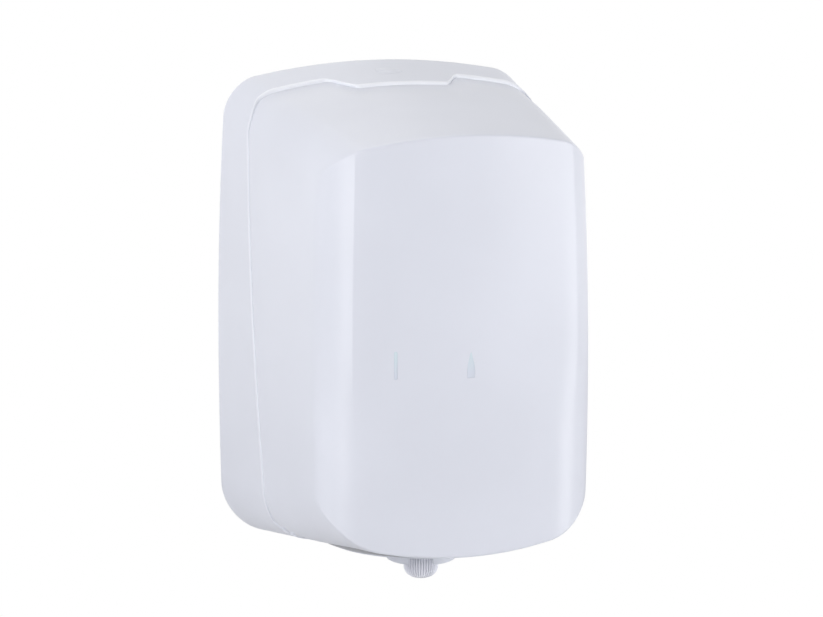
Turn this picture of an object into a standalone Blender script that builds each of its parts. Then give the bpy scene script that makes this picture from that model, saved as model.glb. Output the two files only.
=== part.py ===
"""Wall-mounted centre-pull paper towel dispenser: a shallow rear base, a deep hinged front cover,
a tray with an outlet nozzle below the roll, and a key-released spring latch at the top.

Metres, +Z up. The origin is the middle of the flat wall face. The front looks along -Y, so the
depth of a point is -Y, and the hinge of the cover runs along X near the lower edge.
"""

import math

import bmesh
import bpy
from mathutils import Matrix, Vector

# Outer body
BODY_WIDTH = 0.235
BODY_HEIGHT = 0.3465
BODY_DEPTH = 0.220
WALL = 0.003
WAIST_ABOVE_FOOT = 0.13825
SIDE_TAPER_SHARE = 0.1145
PLAN_CORNER_RADIUS = 0.045
FRONT_BOW_RADIUS = 0.360
TOP_SLOPE_SHARE = 0.1264
BOTTOM_SLOPE_SHARE = 0.1582
TOP_CROWN = 0.0135
BOTTOM_CROWN = 0.0130
TOP_CORNER_RADIUS = 0.0230
BOTTOM_CORNER_RADIUS = 0.0325
TOP_LEAN_IN = 0.0079
BOTTOM_LEAN_IN = 0.0022
FRONT_LEAN_TOP = 0.0061
FRONT_LEAN_BOTTOM = 0.0049

# Where the faces of the body are divided, as shares chosen by hand
FRONT_COLUMN_SHARES = (0.0, 0.15, 0.30, 0.42, 0.48, 0.54, 0.60, 0.66, 0.78, 0.90)
CORNER_COLUMN_SHARES = (0.0, 0.20, 0.40, 0.58, 0.72, 0.83, 0.91, 0.96, 1.0)
ROW_SHARES = (0.0, 0.08, 0.18, 0.32, 0.48, 0.64, 0.80, 0.92, 1.0)
BASE_RING_SHARES = (0.0, 0.34, 0.68, 1.0)
COVER_RING_SHARES = (0.0, 0.22, 0.45, 0.70, 1.0)

# Seam between base and cover, and the lip that closes it
SEAM_GAP = 0.0006
SEAM_TOP_DEPTH = 0.045
SEAM_UPPER_SIDE_DEPTH = 0.052
SEAM_TO_COLLAR = 0.0063
SEAM_LOWER_CORNER_STEP = 0.006
SEAM_CORNER_SHARE = 0.90
TAB_DEPTH = 0.075
TAB_FRONT_HALF_WIDTH = 0.033
TAB_BACK_HALF_WIDTH = 0.044
LIP_LENGTH = 0.006
LIP_THICKNESS = 0.002
LIP_ROOT = 0.008
LIP_CLEARANCE = 0.0006
LIP_LOWEST_ROW_SHARE = 0.30

# Fits between pieces
GAP = 0.0003
OVERRUN = 0.002
WELD = 0.001
MERGE_DISTANCE = 0.00001

# Wall fixings
KEYHOLE_FROM_SIDE = 0.0425
KEYHOLE_FROM_END = 0.06825
KEYHOLE_HEAD_RADIUS = 0.0045
KEYHOLE_SLOT_RADIUS = 0.0024
KEYHOLE_TRAVEL = 0.010
RIB_X = 0.035
RIB_THICKNESS = 0.0025
RIB_HEIGHT = 0.004
RIB_FROM_TOP = 0.05325
RIB_FROM_FOOT = 0.03825

# Outlet tray
TRAY_FROM_SIDE = 0.0475
TRAY_FROM_FRONT = 0.040
TRAY_ABOVE_FOOT = 0.02525
TRAY_THICKNESS = 0.003
TRAY_RIM_HEIGHT = 0.005
TRAY_RIM_THICKNESS = 0.0025
TRAY_BACK_DEPTH = 0.008
TRAY_HOLE_RADIUS = 0.0205
TRAY_ARC_STEPS = 24
COVER_MOUTH_CLEARANCE = 0.005
COVER_MOUTH_HEIGHT = 0.018
TRAY_SCREW_FROM_SIDE = 0.012
TRAY_SCREW_FROM_BACK = 0.010
TRAY_SCREW_BEHIND_SEAM = 0.014
BOSS_RADIUS = 0.0042

# Screws
SCREW_HEAD_RADIUS = 0.0034
SCREW_HEAD_HEIGHT = 0.0022
SCREW_HEAD_TOP_SHARE = 0.7
SCREW_SHANK_RADIUS = 0.0016
SCREW_POINT_LENGTH = 0.0012
SCREW_TRAY_LENGTH = 0.0095
SCREW_LOCK_LENGTH = 0.0068
SCREW_SLOT_WIDTH = 0.0009
SCREW_SLOT_DEPTH = 0.0010
SCREW_HOLE_RADIUS = 0.0020
SCREW_HOLE_SPARE = 0.0005

# Collar, nozzle and what lies in them
COLLAR_RADIUS = 0.0237
COLLAR_DROP = 0.0173
COLLAR_LIP = 0.003
COLLAR_LIP_RADIUS = 0.0130
COLLAR_BORE_RADIUS = 0.0168
COLLAR_SPIGOT_RADIUS = 0.0200
COLLAR_SPIGOT_ABOVE_TRAY = 0.006
COLLAR_EDGE_ROUND = 0.002
NUT_RADIUS = 0.0270
NUT_HEIGHT = 0.0045
NUT_LUGS = 6
NUT_LUG_RADIUS = 0.0030
NOZZLE_RADIUS = 0.0124
NOZZLE_DOME_DROP = 0.003
NOZZLE_EXIT_RADIUS = 0.0048
NOZZLE_MOUTH_RADIUS = 0.0100
NOZZLE_FLANGE_RADIUS = 0.0160
NOZZLE_FLANGE_HEIGHT = 0.002
NOZZLE_FLUTES = 20
NOZZLE_FLUTE_DEPTH = 0.0007
NOZZLE_SEGMENTS_PER_FLUTE = 4
DOME_ROW_SHARES = (0.0, 0.22, 0.42, 0.60, 0.77, 1.0)
WASHER_HEIGHT = 0.0015
WASHER_BORE_RADIUS = 0.0125
STAR_RADIUS = 0.0160
STAR_HEIGHT = 0.0018
STAR_HOLE_RADIUS = 0.0052
STAR_SLITS = 6
STAR_SLIT_WIDTH = 0.0010
STAR_SLIT_REACH = 0.0120

# Hinge
HINGE_AHEAD_OF_SEAM = 0.008
HINGE_ABOVE_SKIN = 0.00705
HINGE_KNUCKLE_RADIUS = 0.0045
HINGE_PIN_RADIUS = 0.0020
HINGE_PIN_INSET = 0.0010
HINGE_ARM_TO_TRAY = 0.004
HINGE_ARM_THICKNESS = 0.008
HINGE_ARM_ROOT = 0.020
HINGE_SIDE_GAP = 0.001
HINGE_EAR_THICKNESS = 0.003
HINGE_BOSS_LENGTH = 0.005
HINGE_EAR_REACH = 0.012
HINGE_NOTCH_AHEAD = 0.009
HINGE_TRIM_BEHIND = 0.0015

# Lock: housing under the tab, latch, spring, key plate and the catch on the cover
LOCK_DEPTH = 0.034
LOCK_HOUSING_BELOW_TOP = 0.01025
LOCK_HOUSING_HEIGHT = 0.0315
LOCK_HOUSING_HALF_WIDTH = 0.013
LOCK_HOUSING_LENGTH = 0.033
LOCK_HOUSING_WALL = 0.003
LOCK_FLANGE_HALF_WIDTH = 0.024
LOCK_FLANGE_LENGTH = 0.014
LOCK_FLANGE_THICKNESS = 0.003
LOCK_SCREW_X = 0.0185
LATCH_CLEARANCE = 0.0004
LATCH_TOP_DROP = 0.001
LATCH_BLOCK_HEIGHT = 0.013
LATCH_LEG_THICKNESS = 0.0045
LATCH_ARM_HALF_WIDTH = 0.007
LATCH_ARM_THICKNESS = 0.003
LATCH_ARM_END_DEPTH = 0.0700
LATCH_TOOTH_LENGTH = 0.003
LATCH_POCKET_RADIUS = 0.0044
LATCH_POCKET_DEPTH = 0.006
LATCH_TRAVEL = 0.005
LATCH_REST_CLEARANCE = 0.0005
SPRING_COIL_RADIUS = 0.0033
SPRING_WIRE_RADIUS = 0.0004
SPRING_CURLS = 7
SPRING_POINTS_PER_CURL = 9
CATCH_HALF_WIDTH = 0.008
CATCH_WEB_DEPTH = 0.0825
CATCH_WEB_THICKNESS = 0.0035
CATCH_PLATE_BELOW_HOUSING_TOP = 0.013
CATCH_PLATE_THICKNESS = 0.003
CATCH_TIP_DEPTH = 0.062
CATCH_HOOK_LENGTH = 0.003
CATCH_HOOK_DROP = 0.004
KEY_HOLE_RADIUS = 0.0095
KEY_PLATE_RADIUS = 0.0092
KEY_PLATE_SUNK = 0.0012
KEY_PLATE_FLANGE_RADIUS = 0.0115
KEY_PLATE_FLANGE_THICKNESS = 0.0010
KEY_PRONG_X = 0.00535
KEY_PRONG_RADIUS = 0.0014

# Level window in the cover
WINDOW_FROM_SIDE = 0.0665
WINDOW_ABOVE_FOOT = 0.16825
WINDOW_WIDTH = 0.0024
WINDOW_HEIGHT = 0.019
WINDOW_CLEARANCE = 0.0003
WINDOW_FLANGE_WIDTH = 0.006
WINDOW_FLANGE_HEIGHT = 0.024
WINDOW_FLANGE_THICKNESS = 0.0012
WINDOW_SUNK = 0.0003

# Places that follow from the sizes above
TOP_Z = BODY_HEIGHT / 2
FOOT_Z = -BODY_HEIGHT / 2
WAIST_Z = FOOT_Z + WAIST_ABOVE_FOOT
ROLL_AXIS_DEPTH = BODY_DEPTH / 2
SEAM_BOTTOM_DEPTH = ROLL_AXIS_DEPTH - COLLAR_RADIUS - SEAM_TO_COLLAR
SEAM_LOWER_SIDE_DEPTH = SEAM_BOTTOM_DEPTH + SEAM_LOWER_CORNER_STEP
KEYHOLE_X = BODY_WIDTH / 2 - KEYHOLE_FROM_SIDE
KEYHOLE_Z = TOP_Z - KEYHOLE_FROM_END
TRAY_HALF_WIDTH = BODY_WIDTH / 2 - TRAY_FROM_SIDE
TRAY_REACH = BODY_DEPTH - TRAY_FROM_FRONT - ROLL_AXIS_DEPTH
TRAY_UNDERSIDE_Z = FOOT_Z + TRAY_ABOVE_FOOT
TRAY_SCREW_X = TRAY_HALF_WIDTH - TRAY_SCREW_FROM_SIDE
TRAY_SCREW_DEPTHS = (TRAY_BACK_DEPTH + TRAY_SCREW_FROM_BACK, SEAM_BOTTOM_DEPTH - TRAY_SCREW_BEHIND_SEAM)
COLLAR_UNDERSIDE_Z = TRAY_UNDERSIDE_Z - COLLAR_DROP
HINGE_DEPTH = SEAM_BOTTOM_DEPTH + HINGE_AHEAD_OF_SEAM
HINGE_ARM_INNER_X = TRAY_HALF_WIDTH + HINGE_ARM_TO_TRAY
HINGE_ARM_OUTER_X = HINGE_ARM_INNER_X + HINGE_ARM_THICKNESS
HINGE_EAR_INNER_X = HINGE_ARM_OUTER_X + HINGE_SIDE_GAP
LOCK_HOUSING_TOP_Z = TOP_Z - LOCK_HOUSING_BELOW_TOP
LOCK_HOUSING_BOTTOM_Z = LOCK_HOUSING_TOP_Z - LOCK_HOUSING_HEIGHT
LOCK_HOUSING_FLOOR_Z = LOCK_HOUSING_BOTTOM_Z + LOCK_HOUSING_WALL
LATCH_FOOT_Z = LOCK_HOUSING_FLOOR_Z + LATCH_TRAVEL + LATCH_REST_CLEARANCE
CATCH_PLATE_Z = LOCK_HOUSING_TOP_Z - CATCH_PLATE_BELOW_HOUSING_TOP
WINDOW_X = WINDOW_FROM_SIDE - BODY_WIDTH / 2
WINDOW_Z = FOOT_Z + WINDOW_ABOVE_FOOT

# Facets on round pieces
FINE_STEPS = 32
ROUND_STEPS = 24
SMALL_STEPS = 16
SMOOTH_ANGLE = math.radians(32)

for old in list(bpy.data.objects):
    bpy.data.objects.remove(old, do_unlink=True)

parts = bpy.data.collections.new("towel_dispenser")
cutters = bpy.data.collections.new("cutters")
bpy.context.scene.collection.children.link(parts)
bpy.context.scene.collection.children.link(cutters)


# Materials

def surface(name, colour, roughness, metallic):
    """A Principled material of one colour."""
    material = bpy.data.materials.new(name)
    material.use_nodes = True
    shader = material.node_tree.nodes["Principled BSDF"]
    shader.inputs["Base Color"].default_value = (*colour, 1.0)
    shader.inputs["Roughness"].default_value = roughness
    shader.inputs["Metallic"].default_value = metallic
    return material


GLOSS_WHITE = (0.80, 0.81, 0.84)
SATIN_WHITE = (0.74, 0.75, 0.79)
NOZZLE_GREY = (0.46, 0.48, 0.56)
STEEL = (0.62, 0.63, 0.65)
WINDOW_GREEN = (0.60, 0.68, 0.74)


# Objects

def add_part(name, mesh, colour, roughness=0.4, metallic=0.0, smooth=True):
    """Put a mesh into the model as a named sub-part with its own material."""
    if smooth:
        mesh.shade_smooth()
        mesh.set_sharp_from_angle(angle=SMOOTH_ANGLE)
    piece = bpy.data.objects.new(name, mesh)
    parts.objects.link(piece)
    mesh.materials.clear()
    mesh.materials.append(surface(name + "_surface", colour, roughness, metallic))
    return piece


def add_cutter(name, mesh):
    """Put a mesh among the hidden shapes that cut or join."""
    cutter = bpy.data.objects.new(name, mesh)
    cutters.objects.link(cutter)
    cutter.hide_render = True
    cutter.display_type = "WIRE"
    return cutter


def combine(piece, other, operation):
    """Add a Boolean modifier that cuts or joins another shape."""
    modifier = piece.modifiers.new(other.name, "BOOLEAN")
    modifier.operation = operation
    modifier.solver = "EXACT"
    modifier.object = other


def cut(piece, name, mesh):
    combine(piece, add_cutter(name, mesh), "DIFFERENCE")


def join(piece, name, mesh):
    combine(piece, add_cutter(name, mesh), "UNION")


def mesh_from(shape, name):
    """Turn a bmesh into a mesh with outward faces."""
    bmesh.ops.recalc_face_normals(shape, faces=shape.faces)
    mesh = bpy.data.meshes.new(name)
    shape.to_mesh(mesh)
    shape.free()
    return mesh


def box(name, x_span, depth_span, z_span):
    """A box between two values of x, two depths in front of the wall, and two levels."""
    low = Vector((min(x_span), -max(depth_span), min(z_span)))
    high = Vector((max(x_span), -min(depth_span), max(z_span)))
    shape = bmesh.new()
    bmesh.ops.create_cube(shape, size=1.0)
    bmesh.ops.scale(shape, vec=high - low, verts=shape.verts)
    bmesh.ops.translate(shape, vec=(high + low) / 2, verts=shape.verts)
    return mesh_from(shape, name)


def cylinder(name, radius, start, end, steps=ROUND_STEPS):
    """A closed cylinder between two points."""
    start, end = Vector(start), Vector(end)
    axis = end - start
    turn = Vector((0, 0, 1)).rotation_difference(axis).to_matrix().to_4x4()
    shape = bmesh.new()
    bmesh.ops.create_cone(shape, cap_ends=True, segments=steps, radius1=radius, radius2=radius,
                          depth=axis.length, matrix=Matrix.Translation((start + end) / 2) @ turn)
    return mesh_from(shape, name)


def turned(name, profile, steps, colour, centre, closed=True, roughness=0.4, metallic=0.0):
    """Turn a profile of (radius, height) about a vertical axis through a point.

    A closed profile makes a ring. An open one starts and ends on the axis and makes a solid.
    """
    outline = bpy.data.meshes.new(name)
    edges = [(index, (index + 1) % len(profile)) for index in range(len(profile) - (not closed))]
    outline.from_pydata([(radius, 0, height) for radius, height in profile], edges, [])
    lathe = add_cutter(name + "_profile", outline)
    spin = lathe.modifiers.new("turn", "SCREW")
    spin.axis = "Z"
    spin.steps = steps
    spin.render_steps = steps
    spin.use_merge_vertices = True
    spin.merge_threshold = MERGE_DISTANCE
    finished = lathe.evaluated_get(bpy.context.evaluated_depsgraph_get())
    piece = add_part(name, bpy.data.meshes.new_from_object(finished), colour, roughness, metallic)
    bpy.data.objects.remove(lathe, do_unlink=True)
    piece.location = centre
    return piece


def both_sides(build):
    """Call a function for the left and for the right side."""
    for side, sign in (("left", -1), ("right", 1)):
        build(side, sign)


# Outer skin of the body as formulas of place

def half_width(depth):
    return BODY_WIDTH / 2 - SIDE_TAPER_SHARE * depth


def corner_drop(share, depth, radius):
    """How far a rounded edge has fallen away at a share of the half width."""
    into_corner = share * half_width(depth) - (half_width(depth) - radius)
    into_corner = min(max(into_corner, 0.0), radius)
    return radius - math.sqrt(radius ** 2 - into_corner ** 2)


def top_level(share, depth):
    fall = TOP_SLOPE_SHARE * depth + TOP_CROWN * share ** 2
    return TOP_Z - fall - corner_drop(share, depth, TOP_CORNER_RADIUS)


def bottom_level(share, depth):
    rise = BOTTOM_SLOPE_SHARE * depth + BOTTOM_CROWN * share ** 2
    return FOOT_Z + rise + corner_drop(share, depth, BOTTOM_CORNER_RADIUS)


HINGE_Z = bottom_level(HINGE_EAR_INNER_X / half_width(HINGE_DEPTH), HINGE_DEPTH) + HINGE_ABOVE_SKIN


def skin_point(x, depth, z, inset=0.0):
    """A point of the skin: the sides and the front lean in above and below the waist."""
    if z > WAIST_Z:
        share = (z - WAIST_Z) / (TOP_Z - WAIST_Z)
        side_lean, front_lean = TOP_LEAN_IN, FRONT_LEAN_TOP
    else:
        share = (WAIST_Z - z) / (WAIST_Z - FOOT_Z)
        side_lean, front_lean = BOTTOM_LEAN_IN, FRONT_LEAN_BOTTOM
    across = x * (1 - side_lean / (BODY_WIDTH / 2) * share ** 2)
    forward = depth * (1 - front_lean / BODY_DEPTH * share ** 2)
    return Vector((across, -forward, z))


def plan_columns():
    """The front rim seen from above, from the middle to the side: x and depth.

    A shallow arc across the front runs into a tighter arc that meets the tapering side.
    """
    taper = SIDE_TAPER_SHARE
    side_angle = math.atan(taper)
    reach = BODY_WIDTH / 2 - PLAN_CORNER_RADIUS / math.cos(side_angle)
    bow_centre = BODY_DEPTH - FRONT_BOW_RADIUS
    inner = FRONT_BOW_RADIUS - PLAN_CORNER_RADIUS
    a = 1 + taper ** 2
    b = taper * reach + bow_centre
    c = reach ** 2 + bow_centre ** 2 - inner ** 2
    centre_depth = (b + math.sqrt(b ** 2 - a * c)) / a
    centre_x = reach - taper * centre_depth
    joint_angle = math.atan2(centre_depth - bow_centre, centre_x)
    columns = []
    for share in FRONT_COLUMN_SHARES:
        angle = math.pi / 2 + (joint_angle - math.pi / 2) * share
        columns.append((FRONT_BOW_RADIUS * math.cos(angle), bow_centre + FRONT_BOW_RADIUS * math.sin(angle)))
    for share in CORNER_COLUMN_SHARES:
        angle = joint_angle + (side_angle - joint_angle) * share
        columns.append((centre_x + PLAN_CORNER_RADIUS * math.cos(angle),
                        centre_depth + PLAN_CORNER_RADIUS * math.sin(angle)))
    return columns


COLUMNS = plan_columns()
ACROSS_SHARES = [min(x / half_width(depth), 1.0) for x, depth in COLUMNS]


def smooth_step(value, start, end):
    share = min(max((value - start) / (end - start), 0.0), 1.0)
    return share * share * (3 - 2 * share)


def half_outline():
    """Stations round half the body, bottom middle to top middle: face, share on it, rim depth."""
    rim_depths = [depth for x, depth in COLUMNS]
    bottom = [("bottom", share, rim) for share, rim in zip(ACROSS_SHARES, rim_depths)]
    side = [("side", share, rim_depths[-1]) for share in ROW_SHARES[1:-1]]
    top = [("top", share, rim) for share, rim in zip(ACROSS_SHARES, rim_depths)]
    return bottom + side + top[::-1]


def seam_depth(face, share):
    """Depth of the seam at a station: a tab at the top middle, deeper towards the bottom."""
    if face == "side":
        return SEAM_LOWER_SIDE_DEPTH + (SEAM_UPPER_SIDE_DEPTH - SEAM_LOWER_SIDE_DEPTH) * share
    corner = smooth_step(share, SEAM_CORNER_SHARE, 1.0)
    if face == "bottom":
        return SEAM_BOTTOM_DEPTH + (SEAM_LOWER_SIDE_DEPTH - SEAM_BOTTOM_DEPTH) * corner
    away = smooth_step(share * half_width(TAB_DEPTH), TAB_FRONT_HALF_WIDTH, TAB_BACK_HALF_WIDTH)
    behind = SEAM_TOP_DEPTH + (SEAM_UPPER_SIDE_DEPTH - SEAM_TOP_DEPTH) * corner
    return TAB_DEPTH + (behind - TAB_DEPTH) * away


def station_point(face, share, depth, inset=0.0):
    """The skin at a station and a depth, moved in by an inset."""
    if face == "side":
        low, high = bottom_level(1.0, depth), top_level(1.0, depth)
        return skin_point(half_width(depth) - inset, depth, low + (high - low) * share)
    level = bottom_level(share, depth) + inset if face == "bottom" else top_level(share, depth) - inset
    return skin_point(share * (half_width(depth) - inset), depth, level)


def lofted(shape, rows):
    """Faces between rows of points that have the same count."""
    grid = [[shape.verts.new(point) for point in row] for row in rows]
    for near, far in zip(grid, grid[1:]):
        for index in range(len(near) - 1):
            shape.faces.new((near[index], near[index + 1], far[index + 1], far[index]))
    return grid


def mirrored_shell(piece, thickness):
    """Mirror an open half surface and give it a wall that grows inwards."""
    mirror = piece.modifiers.new("mirror", "MIRROR")
    mirror.use_axis = (True, False, False)
    mirror.merge_threshold = MERGE_DISTANCE
    wall = piece.modifiers.new("wall", "SOLIDIFY")
    wall.thickness = thickness
    wall.offset = -1.0
    wall.use_even_offset = True
    wall.use_quality_normals = True


def half_mesh(shape, name):
    """Finish an open half surface whose faces already point outwards."""
    bmesh.ops.remove_doubles(shape, verts=shape.verts, dist=MERGE_DISTANCE)
    for vertex in shape.verts:
        if abs(vertex.co.x) < MERGE_DISTANCE:
            vertex.co.x = 0.0
    mesh = bpy.data.meshes.new(name)
    shape.to_mesh(mesh)
    shape.free()
    return mesh


# Rear base

def lip_mesh():
    """Open half surface of the lip: rooted under the base wall, then stepped in under the cover."""
    root, free = WALL - WELD, WALL + LIP_CLEARANCE
    stations = [(face, share) for face, share, rim in half_outline()
                if face == "top" or (face == "side" and share > LIP_LOWEST_ROW_SHARE)]
    steps = ((-LIP_ROOT, root), (-WELD, root), (SEAM_GAP, free), (LIP_LENGTH, free))
    shape = bmesh.new()
    lofted(shape, [[station_point(face, share, seam_depth(face, share) + ahead, inset)
                    for face, share in stations] for ahead, inset in steps])
    return half_mesh(shape, "lip")


def keyhole(name, x, z):
    """Cutters for a round hole that takes a screw head and the narrow slot above it."""
    through = WALL + OVERRUN
    top = z + KEYHOLE_TRAVEL
    slot = KEYHOLE_SLOT_RADIUS
    return (cylinder(name + "_head", KEYHOLE_HEAD_RADIUS, (x, -through, z), (x, through, z), SMALL_STEPS),
            cylinder(name + "_end", slot, (x, -through, top), (x, through, top), SMALL_STEPS),
            box(name + "_slot", (x - slot, x + slot), (-through, through), (z, top)))


def tray_screw_places():
    """The four places, as x and depth, where the tray is screwed to the base."""
    return [(x, depth) for depth in TRAY_SCREW_DEPTHS for x in (-TRAY_SCREW_X, TRAY_SCREW_X)]


def boss_foot(x, depth):
    """Level in the middle of the base's bottom wall under a boss."""
    return bottom_level(abs(x) / half_width(depth), depth) + WALL / 2


def rear_base():
    """Back plate with its rim, tab, seam lip, bosses, ribs and hinge arms."""
    outline = half_outline()
    shape = bmesh.new()
    rows = [[station_point(face, share, seam_depth(face, share) * ring) for face, share, rim in outline]
            for ring in BASE_RING_SHARES]
    grid = lofted(shape, rows)
    shape.faces.new(grid[0][::-1])
    base = add_part("rear_base", half_mesh(shape, "rear_base"), GLOSS_WHITE, 0.28)
    mirrored_shell(base, WALL)

    lip = add_cutter("seam_lip", lip_mesh())
    mirrored_shell(lip, LIP_THICKNESS)
    combine(base, lip, "UNION")

    for number, x in enumerate((-RIB_X, RIB_X)):
        join(base, f"back_rib_{number}", box("rib", (x - RIB_THICKNESS / 2, x + RIB_THICKNESS / 2),
                                            (WALL - WELD, WALL + RIB_HEIGHT),
                                            (FOOT_Z + RIB_FROM_FOOT, TOP_Z - RIB_FROM_TOP)))
    top = TRAY_UNDERSIDE_Z - GAP
    floor = TRAY_UNDERSIDE_Z + TRAY_THICKNESS - SCREW_TRAY_LENGTH - SCREW_HOLE_SPARE
    for number, (x, depth) in enumerate(tray_screw_places()):
        join(base, f"tray_boss_{number}",
             cylinder("boss", BOSS_RADIUS, (x, -depth, boss_foot(x, depth)), (x, -depth, top), SMALL_STEPS))
        cut(base, f"tray_pilot_{number}",
            cylinder("pilot", SCREW_HOLE_RADIUS, (x, -depth, floor), (x, -depth, top + OVERRUN), SMALL_STEPS))

    for x in (-LOCK_SCREW_X, LOCK_SCREW_X):
        roof = top_level(abs(x) / half_width(LOCK_DEPTH), LOCK_DEPTH) - WALL / 2
        join(base, f"lock_boss_{x:.3f}",
             cylinder("boss", BOSS_RADIUS, (x, -LOCK_DEPTH, LOCK_HOUSING_TOP_Z + GAP),
                      (x, -LOCK_DEPTH, roof), SMALL_STEPS))
        tip = LOCK_HOUSING_TOP_Z - LOCK_FLANGE_THICKNESS + SCREW_LOCK_LENGTH + SCREW_HOLE_SPARE
        cut(base, f"lock_pilot_{x:.3f}",
            cylinder("pilot", SCREW_HOLE_RADIUS, (x, -LOCK_DEPTH, LOCK_HOUSING_TOP_Z - OVERRUN),
                     (x, -LOCK_DEPTH, tip), SMALL_STEPS))

    def hinge_arm(side, sign):
        """An arm from the bottom wall that ends in a knuckle round the hinge axis."""
        inner, outer = sign * HINGE_ARM_INNER_X, sign * HINGE_ARM_OUTER_X
        root_depth = HINGE_DEPTH - HINGE_ARM_ROOT
        foot = boss_foot(HINGE_ARM_INNER_X, root_depth)
        knuckle = HINGE_KNUCKLE_RADIUS
        join(base, f"hinge_root_{side}", box("root", (inner, outer), (root_depth, SEAM_BOTTOM_DEPTH - WELD),
                                           (foot, HINGE_Z + knuckle)))
        join(base, f"hinge_arm_{side}", box("arm", (inner + sign * GAP / 2, outer - sign * GAP / 2),
                                          (root_depth + WELD, HINGE_DEPTH - HINGE_PIN_RADIUS),
                                          (HINGE_Z - knuckle + GAP / 2, HINGE_Z + knuckle - GAP / 2)))
        join(base, f"hinge_knuckle_{side}",
             cylinder("knuckle", knuckle, (inner, -HINGE_DEPTH, HINGE_Z), (outer, -HINGE_DEPTH, HINGE_Z)))
        cut(base, f"hinge_bore_{side}",
            cylinder("bore", HINGE_PIN_RADIUS + GAP, (inner - sign * OVERRUN, -HINGE_DEPTH, HINGE_Z),
                     (outer + sign * OVERRUN, -HINGE_DEPTH, HINGE_Z)))

    both_sides(hinge_arm)
    for number, (x, z) in enumerate(((-1, -1), (1, -1), (-1, 1), (1, 1))):
        for mesh in keyhole(f"keyhole_{number}", x * KEYHOLE_X, z * KEYHOLE_Z):
            cut(base, mesh.name, mesh)
    roof = top_level(0.0, LOCK_DEPTH)
    cut(base, "key_hole", cylinder("key_hole", KEY_HOLE_RADIUS, (0, -LOCK_DEPTH, roof - WALL - OVERRUN),
                                   (0, -LOCK_DEPTH, roof + OVERRUN)))
    return base


# Front cover

def ear_plate(inner, outer):
    """A plate round the hinge axis whose foot runs in the bottom wall of the cover."""
    depths = (HINGE_DEPTH + GAP / 2, HINGE_DEPTH + HINGE_EAR_REACH)
    shape = bmesh.new()
    bmesh.ops.create_cube(shape, size=1.0)
    for vertex in shape.verts:
        depth = depths[vertex.co.y > 0]
        foot = bottom_level(abs(inner) / half_width(depth), depth) + WALL
        top = HINGE_Z + HINGE_KNUCKLE_RADIUS - GAP
        vertex.co = (outer if vertex.co.x > 0 else inner, -depth, top if vertex.co.z > 0 else foot)
    return mesh_from(shape, "ear")


def front_cover():
    """Deep shell from the seam to the front, open below round the tray, with hinge ears and catch."""
    outline = half_outline()
    shape = bmesh.new()
    rows = []
    for ring in COVER_RING_SHARES:
        row = []
        for face, share, rim in outline:
            start = seam_depth(face, share) + SEAM_GAP
            row.append(station_point(face, share, start + (rim - start) * ring))
        rows.append(row)
    lofted(shape, rows)
    columns = []
    for share, (x, depth) in zip(ACROSS_SHARES, COLUMNS):
        low, high = bottom_level(share, depth), top_level(share, depth)
        columns.append([skin_point(x, depth, low + (high - low) * row) for row in ROW_SHARES])
    lofted(shape, columns[::-1])
    cover = add_part("front_cover", half_mesh(shape, "front_cover"), GLOSS_WHITE, 0.25)
    mirrored_shell(cover, WALL)

    def ear(side, sign):
        """A plate along the lower edge with a boss round the hinge pin."""
        inner = sign * HINGE_EAR_INNER_X
        join(cover, f"ear_{side}", ear_plate(inner, inner + sign * HINGE_EAR_THICKNESS))
        boss_end = inner + sign * HINGE_BOSS_LENGTH
        bore_start = inner - sign * HINGE_SIDE_GAP / 2
        join(cover, f"ear_boss_{side}",
             cylinder("boss", HINGE_KNUCKLE_RADIUS, (inner + sign * GAP / 2, -HINGE_DEPTH, HINGE_Z),
                      (boss_end, -HINGE_DEPTH, HINGE_Z)))
        cut(cover, f"ear_bore_{side}",
            cylinder("bore", HINGE_PIN_RADIUS + GAP, (bore_start, -HINGE_DEPTH, HINGE_Z),
                     (boss_end + sign * OVERRUN, -HINGE_DEPTH, HINGE_Z)))

    both_sides(ear)
    mouth_top = TRAY_UNDERSIDE_Z + COVER_MOUTH_HEIGHT
    cut(cover, "tray_mouth", tray_outline("mouth", COVER_MOUTH_CLEARANCE, FOOT_Z - OVERRUN,
                                          mouth_top, SEAM_BOTTOM_DEPTH - OVERRUN))
    notch = HINGE_ARM_OUTER_X + HINGE_SIDE_GAP / 2
    cut(cover, "hinge_notch", box("notch", (-notch, notch), (WALL, HINGE_DEPTH + HINGE_NOTCH_AHEAD),
                                  (-BODY_HEIGHT, HINGE_Z + HINGE_KNUCKLE_RADIUS)))
    cut(cover, "hinge_trim", box("trim", (-BODY_WIDTH, BODY_WIDTH), (WALL, HINGE_DEPTH - HINGE_TRIM_BEHIND),
                                 (-BODY_HEIGHT, HINGE_Z)))
    web = (CATCH_WEB_DEPTH, CATCH_WEB_DEPTH + CATCH_WEB_THICKNESS)
    across = (-CATCH_HALF_WIDTH, CATCH_HALF_WIDTH)
    plate_top = CATCH_PLATE_Z + CATCH_PLATE_THICKNESS
    join(cover, "catch_web", box("web", across, web, (CATCH_PLATE_Z, top_level(0.0, web[1]) - WALL / 2)))
    join(cover, "catch_plate", box("plate", across, (CATCH_TIP_DEPTH, CATCH_WEB_DEPTH + WELD),
                                   (CATCH_PLATE_Z + GAP / 2, plate_top)))
    hook = (CATCH_TIP_DEPTH + GAP / 2, CATCH_TIP_DEPTH + CATCH_HOOK_LENGTH)
    join(cover, "catch_hook", box("hook", across, hook, (CATCH_PLATE_Z - CATCH_HOOK_DROP, plate_top - WELD)))
    cut(cover, "window_slot", window_block("slot", WINDOW_WIDTH, WINDOW_HEIGHT, -WALL - OVERRUN, OVERRUN))
    return cover


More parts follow.
